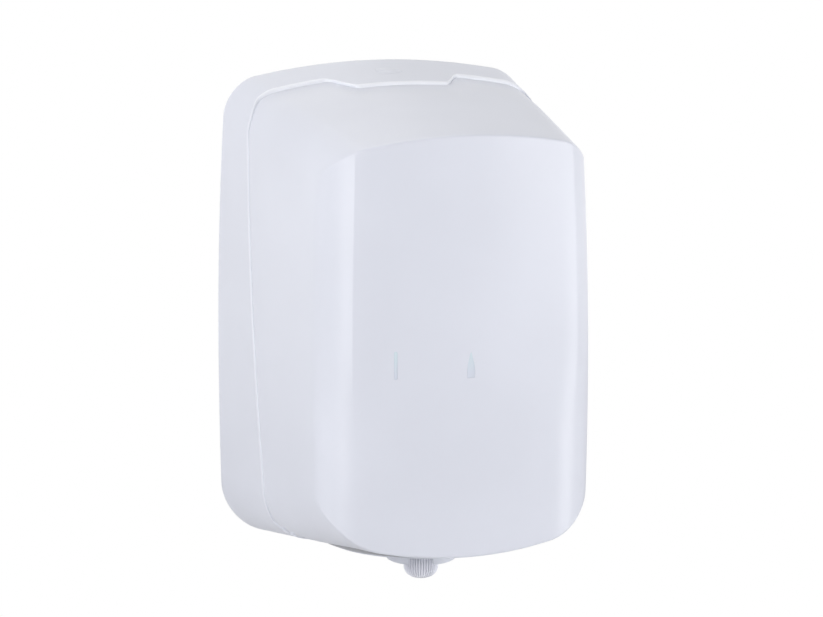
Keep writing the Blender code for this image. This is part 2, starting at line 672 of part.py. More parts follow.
def front_frame(x, z):
    """The frame on the front face at a place: its origin, and the turn from +Y inwards."""
    bow_centre = BODY_DEPTH - FRONT_BOW_RADIUS
    depth = bow_centre + math.sqrt(FRONT_BOW_RADIUS ** 2 - x ** 2)
    place = skin_point(x, depth, z)
    return Matrix.Translation(place) @ Matrix.Rotation(math.asin(x / FRONT_BOW_RADIUS), 4, "Z")


def window_block(name, width, height, inwards, outwards):
    """A block in the front face with round ends above and below."""
    shape = bmesh.new()
    half = width / 2
    ends = []
    for sign in (1, -1):
        middle = sign * (height / 2 - half)
        for step in range(SMALL_STEPS // 2 + 1):
            angle = math.pi * step / (SMALL_STEPS // 2) + (0 if sign > 0 else math.pi)
            ends.append((half * math.cos(angle), middle + half * math.sin(angle)))
    face = shape.faces.new([shape.verts.new((x, -outwards, z)) for x, z in ends])
    grown = bmesh.ops.extrude_face_region(shape, geom=[face])["geom"]
    moved = [item for item in grown if isinstance(item, bmesh.types.BMVert)]
    bmesh.ops.translate(shape, vec=(0, outwards - inwards, 0), verts=moved)
    bmesh.ops.transform(shape, matrix=front_frame(WINDOW_X, WINDOW_Z), verts=shape.verts)
    return mesh_from(shape, name)


def level_window():
    """Clear pane in the front slot, with a flange behind the wall."""
    pane = window_block("level_window", WINDOW_WIDTH - 2 * WINDOW_CLEARANCE,
                        WINDOW_HEIGHT - 2 * WINDOW_CLEARANCE, -WALL - GAP - WELD / 2, -WINDOW_SUNK)
    window = add_part("level_window", pane, WINDOW_GREEN, 0.15)
    join(window, "window_flange", window_block("flange", WINDOW_FLANGE_WIDTH, WINDOW_FLANGE_HEIGHT,
                                               -WALL - GAP - WINDOW_FLANGE_THICKNESS, -WALL - GAP))


# Outlet tray

def tray_outline(name, grow, low, high, back_depth):
    """A flat outline with straight sides and a half-round front, extruded upwards."""
    half, reach = TRAY_HALF_WIDTH + grow, TRAY_REACH + grow
    points = [(-half, -back_depth)]
    for step in range(TRAY_ARC_STEPS + 1):
        angle = math.pi + math.pi * step / TRAY_ARC_STEPS
        points.append((half * math.cos(angle), -ROLL_AXIS_DEPTH + reach * math.sin(angle)))
    points.append((half, -back_depth))
    shape = bmesh.new()
    face = shape.faces.new([shape.verts.new((x, y, low)) for x, y in points])
    grown = bmesh.ops.extrude_face_region(shape, geom=[face])["geom"]
    moved = [item for item in grown if isinstance(item, bmesh.types.BMVert)]
    bmesh.ops.translate(shape, vec=(0, 0, high - low), verts=moved)
    return mesh_from(shape, name)


def outlet_tray():
    """Shelf that the roll stands on, with a low rim and a hole for the collar."""
    floor = TRAY_UNDERSIDE_Z + TRAY_THICKNESS
    rim_top = floor + TRAY_RIM_HEIGHT
    slab = tray_outline("outlet_tray", 0.0, TRAY_UNDERSIDE_Z, rim_top, TRAY_BACK_DEPTH)
    tray = add_part("outlet_tray", slab, SATIN_WHITE)
    cut(tray, "tray_hollow", tray_outline("hollow", -TRAY_RIM_THICKNESS, floor, rim_top + OVERRUN,
                                          TRAY_BACK_DEPTH + TRAY_RIM_THICKNESS))
    below, above = TRAY_UNDERSIDE_Z - OVERRUN, floor + OVERRUN
    cut(tray, "tray_throat", cylinder("throat", TRAY_HOLE_RADIUS, (0, -ROLL_AXIS_DEPTH, below),
                                      (0, -ROLL_AXIS_DEPTH, above)))
    for number, (x, depth) in enumerate(tray_screw_places()):
        cut(tray, f"tray_hole_{number}",
            cylinder("hole", SCREW_HOLE_RADIUS, (x, -depth, below), (x, -depth, above), SMALL_STEPS))


def screw(name, length, place, head_up):
    """Pan-head screw with a slot, its seat at the place and its shank below or above it."""
    profile = [(0, SCREW_HEAD_HEIGHT), (SCREW_HEAD_RADIUS * SCREW_HEAD_TOP_SHARE, SCREW_HEAD_HEIGHT),
               (SCREW_HEAD_RADIUS, SCREW_HEAD_HEIGHT / 2), (SCREW_HEAD_RADIUS, 0), (SCREW_SHANK_RADIUS, 0),
               (SCREW_SHANK_RADIUS, SCREW_POINT_LENGTH - length), (0, -length)]
    piece = turned(name, profile, SMALL_STEPS, STEEL, place, False, 0.3, 1.0)
    reach, half = SCREW_HEAD_RADIUS + OVERRUN, SCREW_SLOT_WIDTH / 2
    levels = (SCREW_HEAD_HEIGHT - SCREW_SLOT_DEPTH, SCREW_HEAD_HEIGHT + OVERRUN)
    slot = add_cutter(name + "_slot", box("slot", (-reach, reach), (-half, half), levels))
    slot.location = place
    if not head_up:
        piece.rotation_euler = (math.pi, 0, 0)
        slot.rotation_euler = (math.pi, 0, 0)
    combine(piece, slot, "DIFFERENCE")


def tray_screws():
    """Four screws down through the tray into the bosses of the base."""
    seat = TRAY_UNDERSIDE_Z + TRAY_THICKNESS + GAP
    for number, (x, depth) in enumerate(tray_screw_places()):
        screw(f"tray_screw_{number + 1}", SCREW_TRAY_LENGTH, (x, -depth, seat), True)


# Collar and nozzle

def nozzle_collar():
    """Round housing under the tray with a threaded spigot that comes up through it."""
    top = TRAY_UNDERSIDE_Z - GAP
    spigot_top = TRAY_UNDERSIDE_Z + TRAY_THICKNESS + COLLAR_SPIGOT_ABOVE_TRAY
    lip_top = COLLAR_UNDERSIDE_Z + COLLAR_LIP
    spigot = COLLAR_SPIGOT_RADIUS
    profile = [(spigot, spigot_top), (spigot, top), (COLLAR_RADIUS, top),
               (COLLAR_RADIUS, COLLAR_UNDERSIDE_Z + COLLAR_EDGE_ROUND),
               (COLLAR_RADIUS - COLLAR_EDGE_ROUND / 2, COLLAR_UNDERSIDE_Z + COLLAR_EDGE_ROUND / 4),
               (COLLAR_RADIUS - COLLAR_EDGE_ROUND, COLLAR_UNDERSIDE_Z),
               (COLLAR_LIP_RADIUS, COLLAR_UNDERSIDE_Z), (COLLAR_LIP_RADIUS, lip_top),
               (COLLAR_BORE_RADIUS, lip_top), (COLLAR_BORE_RADIUS, spigot_top)]
    turned("nozzle_collar", profile, FINE_STEPS, SATIN_WHITE, (0, -ROLL_AXIS_DEPTH, 0))


def collar_nut():
    """Ring nut on the spigot, with finger lugs round it."""
    low = TRAY_UNDERSIDE_Z + TRAY_THICKNESS + GAP
    bore = COLLAR_SPIGOT_RADIUS + GAP
    profile = [(NUT_RADIUS, low + NUT_HEIGHT), (NUT_RADIUS, low), (bore, low), (bore, low + NUT_HEIGHT)]
    nut = turned("collar_nut", profile, FINE_STEPS, SATIN_WHITE, (0, -ROLL_AXIS_DEPTH, 0))
    for number in range(NUT_LUGS):
        angle = 2 * math.pi * number / NUT_LUGS
        x, y = NUT_RADIUS * math.cos(angle), -ROLL_AXIS_DEPTH + NUT_RADIUS * math.sin(angle)
        join(nut, f"nut_lug_{number}", cylinder("lug", NUT_LUG_RADIUS, (x, y, low + GAP / 2),
                                                (x, y, low + NUT_HEIGHT - GAP / 2), SMALL_STEPS))


def nozzle():
    """Fluted dome with a flange above, hung in the collar, and a conical way through it."""
    flange_low = COLLAR_UNDERSIDE_Z + COLLAR_LIP + GAP
    flange_high = flange_low + NOZZLE_FLANGE_HEIGHT
    neck = COLLAR_LIP_RADIUS - 2 * GAP
    dome_centre = COLLAR_UNDERSIDE_Z - NOZZLE_DOME_DROP
    exit_angle = math.acos(NOZZLE_EXIT_RADIUS / NOZZLE_RADIUS)
    plain = [(NOZZLE_MOUTH_RADIUS, flange_high), (NOZZLE_FLANGE_RADIUS, flange_high),
             (NOZZLE_FLANGE_RADIUS, flange_low), (neck, flange_low), (neck, COLLAR_UNDERSIDE_Z)]
    rows = [(radius, level, 0.0) for radius, level in plain]
    for share in DOME_ROW_SHARES:
        angle = exit_angle * share
        rows.append((NOZZLE_RADIUS * math.cos(angle), dome_centre - NOZZLE_RADIUS * math.sin(angle),
                     NOZZLE_FLUTE_DEPTH * math.cos(angle)))
    exit_level = rows[-1][1]
    rows[-1] = (rows[-1][0], exit_level, 0.0)
    rows.append((NOZZLE_EXIT_RADIUS - NOZZLE_FLUTE_DEPTH, exit_level, 0.0))
    steps = NOZZLE_FLUTES * NOZZLE_SEGMENTS_PER_FLUTE
    shape = bmesh.new()
    rings = []
    for radius, level, depth in rows:
        ring = []
        for step in range(steps):
            angle = 2 * math.pi * step / steps
            flute = depth * (0.5 + 0.5 * math.cos(NOZZLE_FLUTES * angle))
            ring.append(shape.verts.new(((radius - flute) * math.cos(angle),
                                         (radius - flute) * math.sin(angle), level)))
        rings.append(ring)
    for upper, lower in zip(rings, rings[1:] + rings[:1]):
        for step in range(steps):
            after = (step + 1) % steps
            shape.faces.new((upper[step], upper[after], lower[after], lower[step]))
    piece = add_part("nozzle", mesh_from(shape, "nozzle"), NOZZLE_GREY, 0.3)
    piece.location = (0, -ROLL_AXIS_DEPTH, 0)


def drag_washer():
    """Soft ring on the nozzle's flange that keeps it from turning too freely."""
    low = COLLAR_UNDERSIDE_Z + COLLAR_LIP + 2 * GAP + NOZZLE_FLANGE_HEIGHT
    outer = NOZZLE_FLANGE_RADIUS
    profile = [(outer, low + WASHER_HEIGHT), (outer, low), (WASHER_BORE_RADIUS, low),
               (WASHER_BORE_RADIUS, low + WASHER_HEIGHT)]
    turned("drag_washer", profile, ROUND_STEPS, NOZZLE_GREY, (0, -ROLL_AXIS_DEPTH, 0), True, 0.7)


def star_restrictor():
    """Slit disc above the washer that holds the end of the towel."""
    low = COLLAR_UNDERSIDE_Z + COLLAR_LIP + 3 * GAP + NOZZLE_FLANGE_HEIGHT + WASHER_HEIGHT
    high = low + STAR_HEIGHT
    profile = [(STAR_RADIUS, high), (STAR_RADIUS, low), (STAR_HOLE_RADIUS, low), (STAR_HOLE_RADIUS, high)]
    star = turned("star_restrictor", profile, ROUND_STEPS, NOZZLE_GREY, (0, -ROLL_AXIS_DEPTH, 0))
    for number in range(STAR_SLITS):
        angle = 2 * math.pi * (number + 0.5) / STAR_SLITS
        slit = add_cutter(f"star_slit_{number}", box("slit", (0, STAR_SLIT_REACH),
                                                     (-STAR_SLIT_WIDTH / 2, STAR_SLIT_WIDTH / 2),
                                                     (low - OVERRUN, high + OVERRUN)))
        slit.location = (0, -ROLL_AXIS_DEPTH, 0)
        slit.rotation_euler = (0, 0, angle)
        combine(star, slit, "DIFFERENCE")


# Hinge pins

def hinge_pins():
    """Two stub pins on one axis, each through an arm of the base and an ear of the cover."""
    def pin(side, sign):
        start = sign * (HINGE_ARM_INNER_X + HINGE_PIN_INSET)
        end = sign * (HINGE_EAR_INNER_X + HINGE_BOSS_LENGTH - HINGE_PIN_INSET)
        mesh = cylinder(f"hinge_pin_{side}", HINGE_PIN_RADIUS, (start, 0, 0), (end, 0, 0), SMALL_STEPS)
        piece = add_part(f"hinge_pin_{side}", mesh, STEEL, 0.3, 1.0)
        piece.location = (0, -HINGE_DEPTH, HINGE_Z)

    both_sides(pin)


# Lock

def lock_housing():
    """Open-topped guide box under the tab, hung by two flanges."""
    back, front = LOCK_DEPTH - LOCK_HOUSING_LENGTH / 2, LOCK_DEPTH + LOCK_HOUSING_LENGTH / 2
    half = LOCK_HOUSING_HALF_WIDTH
    block = box("lock_housing", (-half, half), (back, front), (LOCK_HOUSING_BOTTOM_Z, LOCK_HOUSING_TOP_Z))
    housing = add_part("lock_housing", block, SATIN_WHITE, smooth=False)
    join(housing, "housing_flange",
         box("flange", (-LOCK_FLANGE_HALF_WIDTH, LOCK_FLANGE_HALF_WIDTH),
             (LOCK_DEPTH - LOCK_FLANGE_LENGTH / 2, LOCK_DEPTH + LOCK_FLANGE_LENGTH / 2),
             (LOCK_HOUSING_TOP_Z - LOCK_FLANGE_THICKNESS, LOCK_HOUSING_TOP_Z)))
    inside = half - LOCK_HOUSING_WALL
    floor = LOCK_HOUSING_FLOOR_Z
    cut(housing, "housing_hollow", box("hollow", (-inside, inside),
                                       (back + LOCK_HOUSING_WALL, front - LOCK_HOUSING_WALL),
                                       (floor, LOCK_HOUSING_TOP_Z + OVERRUN)))
    slot = LATCH_ARM_HALF_WIDTH + 2 * LATCH_CLEARANCE
    cut(housing, "housing_slot", box("slot", (-slot, slot),
                                     (front - LOCK_HOUSING_WALL - OVERRUN, front + OVERRUN),
                                     (floor + GAP, LOCK_HOUSING_TOP_Z + OVERRUN)))
    for x in (-LOCK_SCREW_X, LOCK_SCREW_X):
        cut(housing, f"flange_hole_{x:.3f}",
            cylinder("hole", SCREW_HOLE_RADIUS,
                     (x, -LOCK_DEPTH, LOCK_HOUSING_TOP_Z - LOCK_FLANGE_THICKNESS - OVERRUN),
                     (x, -LOCK_DEPTH, LOCK_HOUSING_TOP_Z + OVERRUN), SMALL_STEPS))


def lock_screws():
    """Two screws up through the flanges into the bosses under the tab."""
    seat = LOCK_HOUSING_TOP_Z - LOCK_FLANGE_THICKNESS - GAP
    for number, x in enumerate((-LOCK_SCREW_X, LOCK_SCREW_X)):
        screw(f"lock_screw_{number + 1}", SCREW_LOCK_LENGTH, (x, -LOCK_DEPTH, seat), False)


def lock_latch():
    """Block that the key presses down, with an arm and a tooth in front of the catch."""
    half = LOCK_HOUSING_HALF_WIDTH - LOCK_HOUSING_WALL - LATCH_CLEARANCE
    inner = LOCK_HOUSING_LENGTH / 2 - LOCK_HOUSING_WALL - LATCH_CLEARANCE
    top = LOCK_HOUSING_TOP_Z - LATCH_TOP_DROP
    block_low = top - LATCH_BLOCK_HEIGHT
    front = LOCK_DEPTH + inner
    arm_top = LATCH_FOOT_Z + LATCH_ARM_THICKNESS
    tooth_top = CATCH_PLATE_Z - CATCH_HOOK_DROP - LATCH_CLEARANCE
    arm = LATCH_ARM_HALF_WIDTH
    block = box("lock_latch", (-half, half), (LOCK_DEPTH - inner, front), (block_low, top))
    latch = add_part("lock_latch", block, SATIN_WHITE, smooth=False)
    join(latch, "latch_leg", box("leg", (-arm, arm), (front - LATCH_LEG_THICKNESS, front - GAP / 2),
                                 (LATCH_FOOT_Z, block_low + WELD)))
    join(latch, "latch_arm", box("arm", (-arm + GAP / 2, arm - GAP / 2), (front - WELD, LATCH_ARM_END_DEPTH),
                                 (LATCH_FOOT_Z + GAP / 2, arm_top)))
    join(latch, "latch_tooth", box("tooth", (-arm + GAP, arm - GAP),
                                   (LATCH_ARM_END_DEPTH - LATCH_TOOTH_LENGTH, LATCH_ARM_END_DEPTH - GAP / 2),
                                   (arm_top - WELD, tooth_top)))
    cut(latch, "latch_pocket", cylinder("pocket", LATCH_POCKET_RADIUS, (0, -LOCK_DEPTH, block_low - OVERRUN),
                                        (0, -LOCK_DEPTH, block_low + LATCH_POCKET_DEPTH), SMALL_STEPS))


def latch_spring():
    """Open coil between the floor of the housing and the roof of the latch's pocket."""
    end_room = GAP + SPRING_WIRE_RADIUS
    low = LOCK_HOUSING_FLOOR_Z + end_room
    high = LOCK_HOUSING_TOP_Z - LATCH_TOP_DROP - LATCH_BLOCK_HEIGHT + LATCH_POCKET_DEPTH - end_room
    count = SPRING_CURLS * SPRING_POINTS_PER_CURL + 1
    curve = bpy.data.curves.new("latch_spring", "CURVE")
    curve.dimensions = "3D"
    curve.bevel_depth = SPRING_WIRE_RADIUS
    curve.bevel_resolution = 1
    curve.use_fill_caps = True
    line = curve.splines.new("POLY")
    line.points.add(count - 1)
    points = []
    for index in range(count):
        angle = 2 * math.pi * index / SPRING_POINTS_PER_CURL
        x, y = SPRING_COIL_RADIUS * math.cos(angle), SPRING_COIL_RADIUS * math.sin(angle)
        points.append(Vector((x, y, low + (high - low) * index / (count - 1))))
        line.points[index].co = (*points[-1], 1.0)
    turn = SPRING_POINTS_PER_CURL
    least = min((points[later] - points[index]).length
                for index in range(count) for later in range(index + turn - 1, min(index + turn + 2, count)))
    print(f"latch spring: least gap between curls {(least - 2 * SPRING_WIRE_RADIUS) * 1000:.2f} mm")
    spring = bpy.data.objects.new("latch_spring", curve)
    parts.objects.link(spring)
    spring.location = (0, -LOCK_DEPTH, 0)
    curve.materials.append(surface("latch_spring_surface", STEEL, 0.3, 1.0))


def key_plate():
    """Sunk disc in the tab with two holes for the prongs of the key."""
    slope = math.atan(TOP_SLOPE_SHARE)
    under = -(WALL + GAP)
    lowest = under - KEY_PLATE_FLANGE_THICKNESS
    profile = [(0, -KEY_PLATE_SUNK), (KEY_PLATE_RADIUS, -KEY_PLATE_SUNK), (KEY_PLATE_RADIUS, under),
               (KEY_PLATE_FLANGE_RADIUS, under), (KEY_PLATE_FLANGE_RADIUS, lowest), (0, lowest)]
    place = (0, -LOCK_DEPTH, top_level(0.0, LOCK_DEPTH))
    plate = turned("key_plate", profile, ROUND_STEPS, SATIN_WHITE, place, False)
    plate.rotation_euler = (slope, 0, 0)
    for number, x in enumerate((-KEY_PRONG_X, KEY_PRONG_X)):
        hole = add_cutter(f"prong_hole_{number}", cylinder("prong", KEY_PRONG_RADIUS, (x, 0, under - WALL),
                                                           (x, 0, OVERRUN), SMALL_STEPS))
        hole.location = place
        hole.rotation_euler = (slope, 0, 0)
        combine(plate, hole, "DIFFERENCE")


rear_base()
front_cover()
level_window()
outlet_tray()
tray_screws()
nozzle_collar()
collar_nut()
nozzle()
drag_washer()
star_restrictor()
hinge_pins()
lock_housing()
lock_screws()
lock_latch()
latch_spring()
key_plate()
bpy.context.view_layer.update()
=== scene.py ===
# %% [markdown]
# # A wall-mounted paper towel dispenser
#
# A shallow white base is screwed to the wall. A deep cover with a gently bowed front hangs on a
# hinge at its lower edge and hides the roll, and the towel leaves through a smoky nozzle below.
#
# The moving bodies of a mechanical model come first and stay as they are. Finer pieces with real
# finishes are then laid over them, and each one rides on the body that it belongs to. Loading a
# finished frame keeps every piece where the mechanism needs it, which modelling by eye would not.
#
# Lengths are metres, +Z is up, the wall is the plane y = 0, and the front looks along -Y. The
# word depth always means the distance in front of the wall, so a depth is -y.

# %% Load the mechanical model
from collections import Counter
from math import asin, atan, atan2, cos, hypot, pi, radians, sin, sqrt, tan

import bmesh
import bpy
from mathutils import Matrix, Vector


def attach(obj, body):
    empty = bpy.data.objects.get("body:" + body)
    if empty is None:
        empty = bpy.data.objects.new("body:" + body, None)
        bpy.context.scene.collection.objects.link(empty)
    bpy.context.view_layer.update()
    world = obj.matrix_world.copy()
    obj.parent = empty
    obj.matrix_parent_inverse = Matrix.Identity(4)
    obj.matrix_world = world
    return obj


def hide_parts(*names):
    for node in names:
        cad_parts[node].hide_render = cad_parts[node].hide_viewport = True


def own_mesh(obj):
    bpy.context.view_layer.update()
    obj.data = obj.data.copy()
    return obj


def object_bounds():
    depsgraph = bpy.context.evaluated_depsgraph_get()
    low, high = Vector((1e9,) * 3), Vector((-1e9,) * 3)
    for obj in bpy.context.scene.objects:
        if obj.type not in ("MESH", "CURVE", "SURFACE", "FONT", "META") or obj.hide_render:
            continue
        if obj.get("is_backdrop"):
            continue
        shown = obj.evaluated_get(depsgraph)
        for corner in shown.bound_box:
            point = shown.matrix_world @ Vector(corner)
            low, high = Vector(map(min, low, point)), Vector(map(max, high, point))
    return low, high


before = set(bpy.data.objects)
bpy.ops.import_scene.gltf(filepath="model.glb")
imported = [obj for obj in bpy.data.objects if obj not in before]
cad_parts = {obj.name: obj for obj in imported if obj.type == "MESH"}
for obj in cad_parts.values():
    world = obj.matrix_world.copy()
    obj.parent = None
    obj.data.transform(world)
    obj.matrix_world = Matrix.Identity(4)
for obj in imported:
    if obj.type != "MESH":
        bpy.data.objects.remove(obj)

cad_low, cad_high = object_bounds()


def in_mm(lengths):
    return [round(length * 1000, 1) for length in lengths]


print("mechanical model, mm:", in_mm(cad_high - cad_low))

# %% [markdown]
# ## The view
#
# The camera's place was found by matching the outline of the body, its front ridge and its seam.
# A long lens from a good two metres away gives the flat perspective of a catalogue photograph.
# The same view could come from a shorter lens close by, but then the near side would swell.

# %% Place the camera
AZIMUTH, ELEVATION, VIEW_DISTANCE = -17.3702, 10.5155, 2.2379
AIM = Vector((-0.0038, -0.1, 0.01015))


def direction(azimuth, elevation):
    """The way out from the dispenser, in degrees round from the front and degrees up."""
    around, up = radians(azimuth), radians(elevation)
    return Vector((sin(around) * cos(up), -cos(around) * cos(up), sin(up)))


def stood(name, data, target, way, distance):
    """Stand a camera or a lamp at a distance from a target, looking back at it."""
    stand = bpy.data.objects.new(name, data)
    bpy.context.scene.collection.objects.link(stand)
    stand.location = target + way * distance
    stand.rotation_mode = "QUATERNION"
    stand.rotation_quaternion = (-way).to_track_quat("-Z", "Y")
    return stand


lens = bpy.data.cameras.new("view")
lens.sensor_width, lens.lens = 36, 141.14
camera = stood("view", lens, AIM, direction(AZIMUTH, ELEVATION), VIEW_DISTANCE)
bpy.context.scene.camera = camera
bpy.context.scene.view_settings.view_transform = "Standard"
print("camera at", [round(value, 3) for value in camera.location])

# %% [markdown]
# ## The form of the body
#
# Seen from above, the bowed front runs into sides that widen towards the wall. The top and the
# bottom slope and are crowned, and their outer edges are rounded, all in the gentle sweeps of a
# moulding.
#
# A cage of a few points under a Subdivision Surface could give a soft form like it. With formulas
# the seam, the ridge and the corners fall exactly where they were measured, and every fine grid
# below can ask them for its points.

# %% Measures of the body
WIDTH, HEIGHT, DEPTH, WALL = 0.235, 0.3465, 0.22, 0.003
TOP, FOOT = HEIGHT / 2, -HEIGHT / 2
WAIST = FOOT + 0.13825
SIDE_TAPER, TOP_SLOPE, BOTTOM_SLOPE = 0.1145, 0.1264, 0.1582
TOP_CROWN, BOTTOM_CROWN = 0.0135, 0.013
TOP_ROUND, BOTTOM_ROUND, FRONT_LIFT = 0.023, 0.0325, 0.0024
ROLL_DEPTH = DEPTH / 2
BODY_MIDDLE = Vector((0, -ROLL_DEPTH, 0))


def smooth_step(value, start, end):
    share = min(max((value - start) / (end - start), 0.0), 1.0)
    return share * share * (3 - 2 * share)


def half_width(depth):
    return WIDTH / 2 - SIDE_TAPER * depth


def corner_drop(share, depth, radius):
    """How far a rounded edge has fallen away at a share of the half width."""
    inside = min(max(share * half_width(depth) - half_width(depth) + radius, 0.0), radius)
    return radius - sqrt(radius ** 2 - inside ** 2)


def top_level(share, depth):
    return TOP - TOP_SLOPE * depth - TOP_CROWN * share ** 2 - corner_drop(share, depth, TOP_ROUND)


def bottom_level(share, depth):
    crown = BOTTOM_CROWN + FRONT_LIFT * smooth_step(depth, 0.1, 0.18)
    return FOOT + BOTTOM_SLOPE * depth + crown * share ** 2 + corner_drop(share, depth, BOTTOM_ROUND)


def skin(x, depth, z):
    """A point of the skin: the sides and the front lean in a little above and below the waist."""
    if z > WAIST:
        share, side_lean, front_lean = (z - WAIST) / (TOP - WAIST), 0.0079, 0.0061
    else:
        share, side_lean, front_lean = (WAIST - z) / (WAIST - FOOT), 0.0022, 0.0049
    return Vector((x * (1 - side_lean / (WIDTH / 2) * share ** 2),
                   -depth * (1 - front_lean / DEPTH * share ** 2), z))


print("top of the front, mm:", in_mm([top_level(0, DEPTH)]))

# %% [markdown]
# ## The plan of the front
#
# The front is a wide bow that turns into a tighter arc at each corner. Low down the corner is one
# smooth arc. Higher up it has a fine upright crease, which fades out a little below the middle. So
# there are two plans with the same number of columns, and the height decides how much of each is
# used. A bevelled edge could not fade, because a bevel keeps its width. Columns crowd together at
# the crease, so that smooth shading doesn't blur it.

# %% Two plans of the front rim
BOW_RADIUS, BOW_COLUMNS, LEAD_COLUMNS, CORNER_COLUMNS = 0.36, 36, 12, 26
CREASE_COLUMN = BOW_COLUMNS + LEAD_COLUMNS
COLUMNS = CREASE_COLUMN + CORNER_COLUMNS
FRONT = DEPTH - 0.00006
BOW_CENTRE = FRONT - BOW_RADIUS
side_angle = pi / 2 - atan(SIDE_TAPER)


def arc(centre, radius, start, end, steps, crowd):
    """Points (x, depth) of an arc, by angle from straight ahead, crowded towards one end."""
    points = []
    for step in range(1, steps + 1):
        share = step / steps
        share = {"end": 1 - (1 - share) ** 1.6, "start": share ** 1.6, "none": share}[crowd]
        angle = start + (end - start) * share
        points.append((centre[0] + radius * sin(angle), centre[1] + radius * cos(angle)))
    return points


def plan(bow_angle, lead_radius, crease_angle, end):
    """A rim from the middle to the side: the bow, a tighter lead, and a corner tangent to the side."""
    rim = [(0.0, FRONT)] + arc((0.0, BOW_CENTRE), BOW_RADIUS, 0.0, bow_angle, BOW_COLUMNS, "none")
    lead = Vector(rim[-1]) - lead_radius * Vector((sin(bow_angle), cos(bow_angle)))
    rim += arc(lead, lead_radius, bow_angle, crease_angle, LEAD_COLUMNS, "end")
    chord, normal = Vector(rim[-1]) - end, Vector((sin(side_angle), cos(side_angle)))
    radius = -chord.length_squared / (2 * normal.dot(chord))
    centre = end - radius * normal
    start = atan2(rim[-1][0] - centre.x, rim[-1][1] - centre.y)
    return rim + arc(centre, radius, start, side_angle, CORNER_COLUMNS, "start")


side_end = Vector((half_width(0.17569), 0.17569))
LOW_RIM = plan(radians(9.627), 0.045, radians(33.0), side_end)
HIGH_RIM = plan(radians(10.6), 0.052, radians(25.0), side_end)


def plan_normals(rim):
    """The way out at each column, which is straight ahead in the middle and sideways at the end."""
    inner = [Vector((before[1] - after[1], after[0] - before[0])).normalized()
             for before, after in zip(rim, rim[2:])]
    return [Vector((0, 1))] + inner + [Vector((1, 0))]


LOW_NORMALS, HIGH_NORMALS = plan_normals(LOW_RIM), plan_normals(HIGH_RIM)
print("crease at, mm:", in_mm(HIGH_RIM[CREASE_COLUMN]))

# %% [markdown]
# ## Stations round the body
#
# A shell like this is one strip of stations that runs from the middle of the bottom, up the side,
# to the middle of the top, and is mirrored. A smooth step from 0 to 1 blends one plan into the
# other without a kink.

# %% Stations
SIDE_ROWS = 64
CREASE_FADE = (-0.058, 0.004)


def rim_stations(face, rim):
    return [(face, min(round(x / half_width(depth), 6), 1.0), depth) for x, depth in rim]


side_stations = [("side", row / SIDE_ROWS, side_end.y) for row in range(1, SIDE_ROWS)]
STATIONS = rim_stations("bottom", LOW_RIM) + side_stations + rim_stations("top", HIGH_RIM)[::-1]
LAST = len(STATIONS) - 1


def station_point(station, depth, inset=0.0):
    """The skin at a station and a depth, moved inwards by an inset."""
    face, share, rim = station
    if face == "side":
        low, high = bottom_level(1.0, depth), top_level(1.0, depth)
        return skin(half_width(depth) - inset, depth, low + (high - low) * share)
    level = bottom_level(share, depth) + inset if face == "bottom" else top_level(share, depth) - inset
    return skin(share * (half_width(depth) - inset), depth, level)


def front_point(column, share, inset=0.0, trim=0.0):
    """The skin of the front at a column and a share of the way up, kept clear of top and bottom."""
    low, high = STATIONS[column], STATIONS[-1 - column]
    bottom, top = bottom_level(low[1], low[2]), top_level(high[1], high[2])
    level = min(max(bottom + (top - bottom) * share, bottom + inset + trim), top - inset - trim)
    creased = smooth_step(level, *CREASE_FADE)
    x, depth = Vector(LOW_RIM[column]).lerp(Vector(HIGH_RIM[column]), creased)
    out = LOW_NORMALS[column].lerp(HIGH_NORMALS[column], creased)
    return skin(x - inset * out.x, depth - inset * out.y, level)


print("stations:", len(STATIONS))

# %% [markdown]
# ## The seam
#
# Base and cover meet on a line that isn't straight. A tab of the base reaches forwards in the
# middle of the top, where the lock sits, and the line runs deeper towards the bottom corner. Smooth
# steps again blend one depth into the next.

# %% Depth of the seam
SEAM_BOTTOM = ROLL_DEPTH - 0.0237 - 0.0063
SEAM_SIDE_LOW, SEAM_SIDE_HIGH, SEAM_TOP, TAB = SEAM_BOTTOM + 0.006, 0.052, 0.0425, 0.0705
SEAM_GAP, SIDE_STEP, TOP_STEP, STEP_FADE = 0.00012, 0.0004, 0.002, 0.06


def seam_depth(station):
    face, share, rim = station
    if face == "side":
        return SEAM_SIDE_LOW + (SEAM_SIDE_HIGH - SEAM_SIDE_LOW) * share
    corner = smooth_step(share, 0.9, 1.0)
    if face == "bottom":
        return SEAM_BOTTOM + (SEAM_SIDE_LOW - SEAM_BOTTOM) * corner
    behind = SEAM_TOP + (SEAM_SIDE_HIGH - SEAM_TOP) * corner
    return TAB + (behind - TAB) * smooth_step(share * half_width(TAB), 0.033, 0.052)


def seam_step(station):
    """How far the cover lies below the base at the seam, which is most on the top."""
    if station[0] != "top":
        return SIDE_STEP
    return TOP_STEP + (SIDE_STEP - TOP_STEP) * smooth_step(station[1], 0.8, 1.0)


print("seam depths, mm:", in_mm(seam_depth(STATIONS[i]) for i in (0, COLUMNS + SIDE_ROWS // 2, LAST)))

# %% [markdown]
# ## Tools for the shop
#
# Each piece starts as a bmesh. A flat grid has its points moved to their places, an outline is
# pushed into a prism, and a profile is spun into a turned shape.

# %% Helpers that shape a bmesh
MERGE = 0.000002


def grid(across, along, place, shape=None):
    """Add a grid of across by along faces, each of whose points is moved to place(i, j)."""
    shape = shape or bmesh.new()
    for vertex in bmesh.ops.create_grid(shape, x_segments=across, y_segments=along, size=0.5)["verts"]:
        vertex.co = place(round((vertex.co.x + 0.5) * across), round((vertex.co.y + 0.5) * along))
    return shape


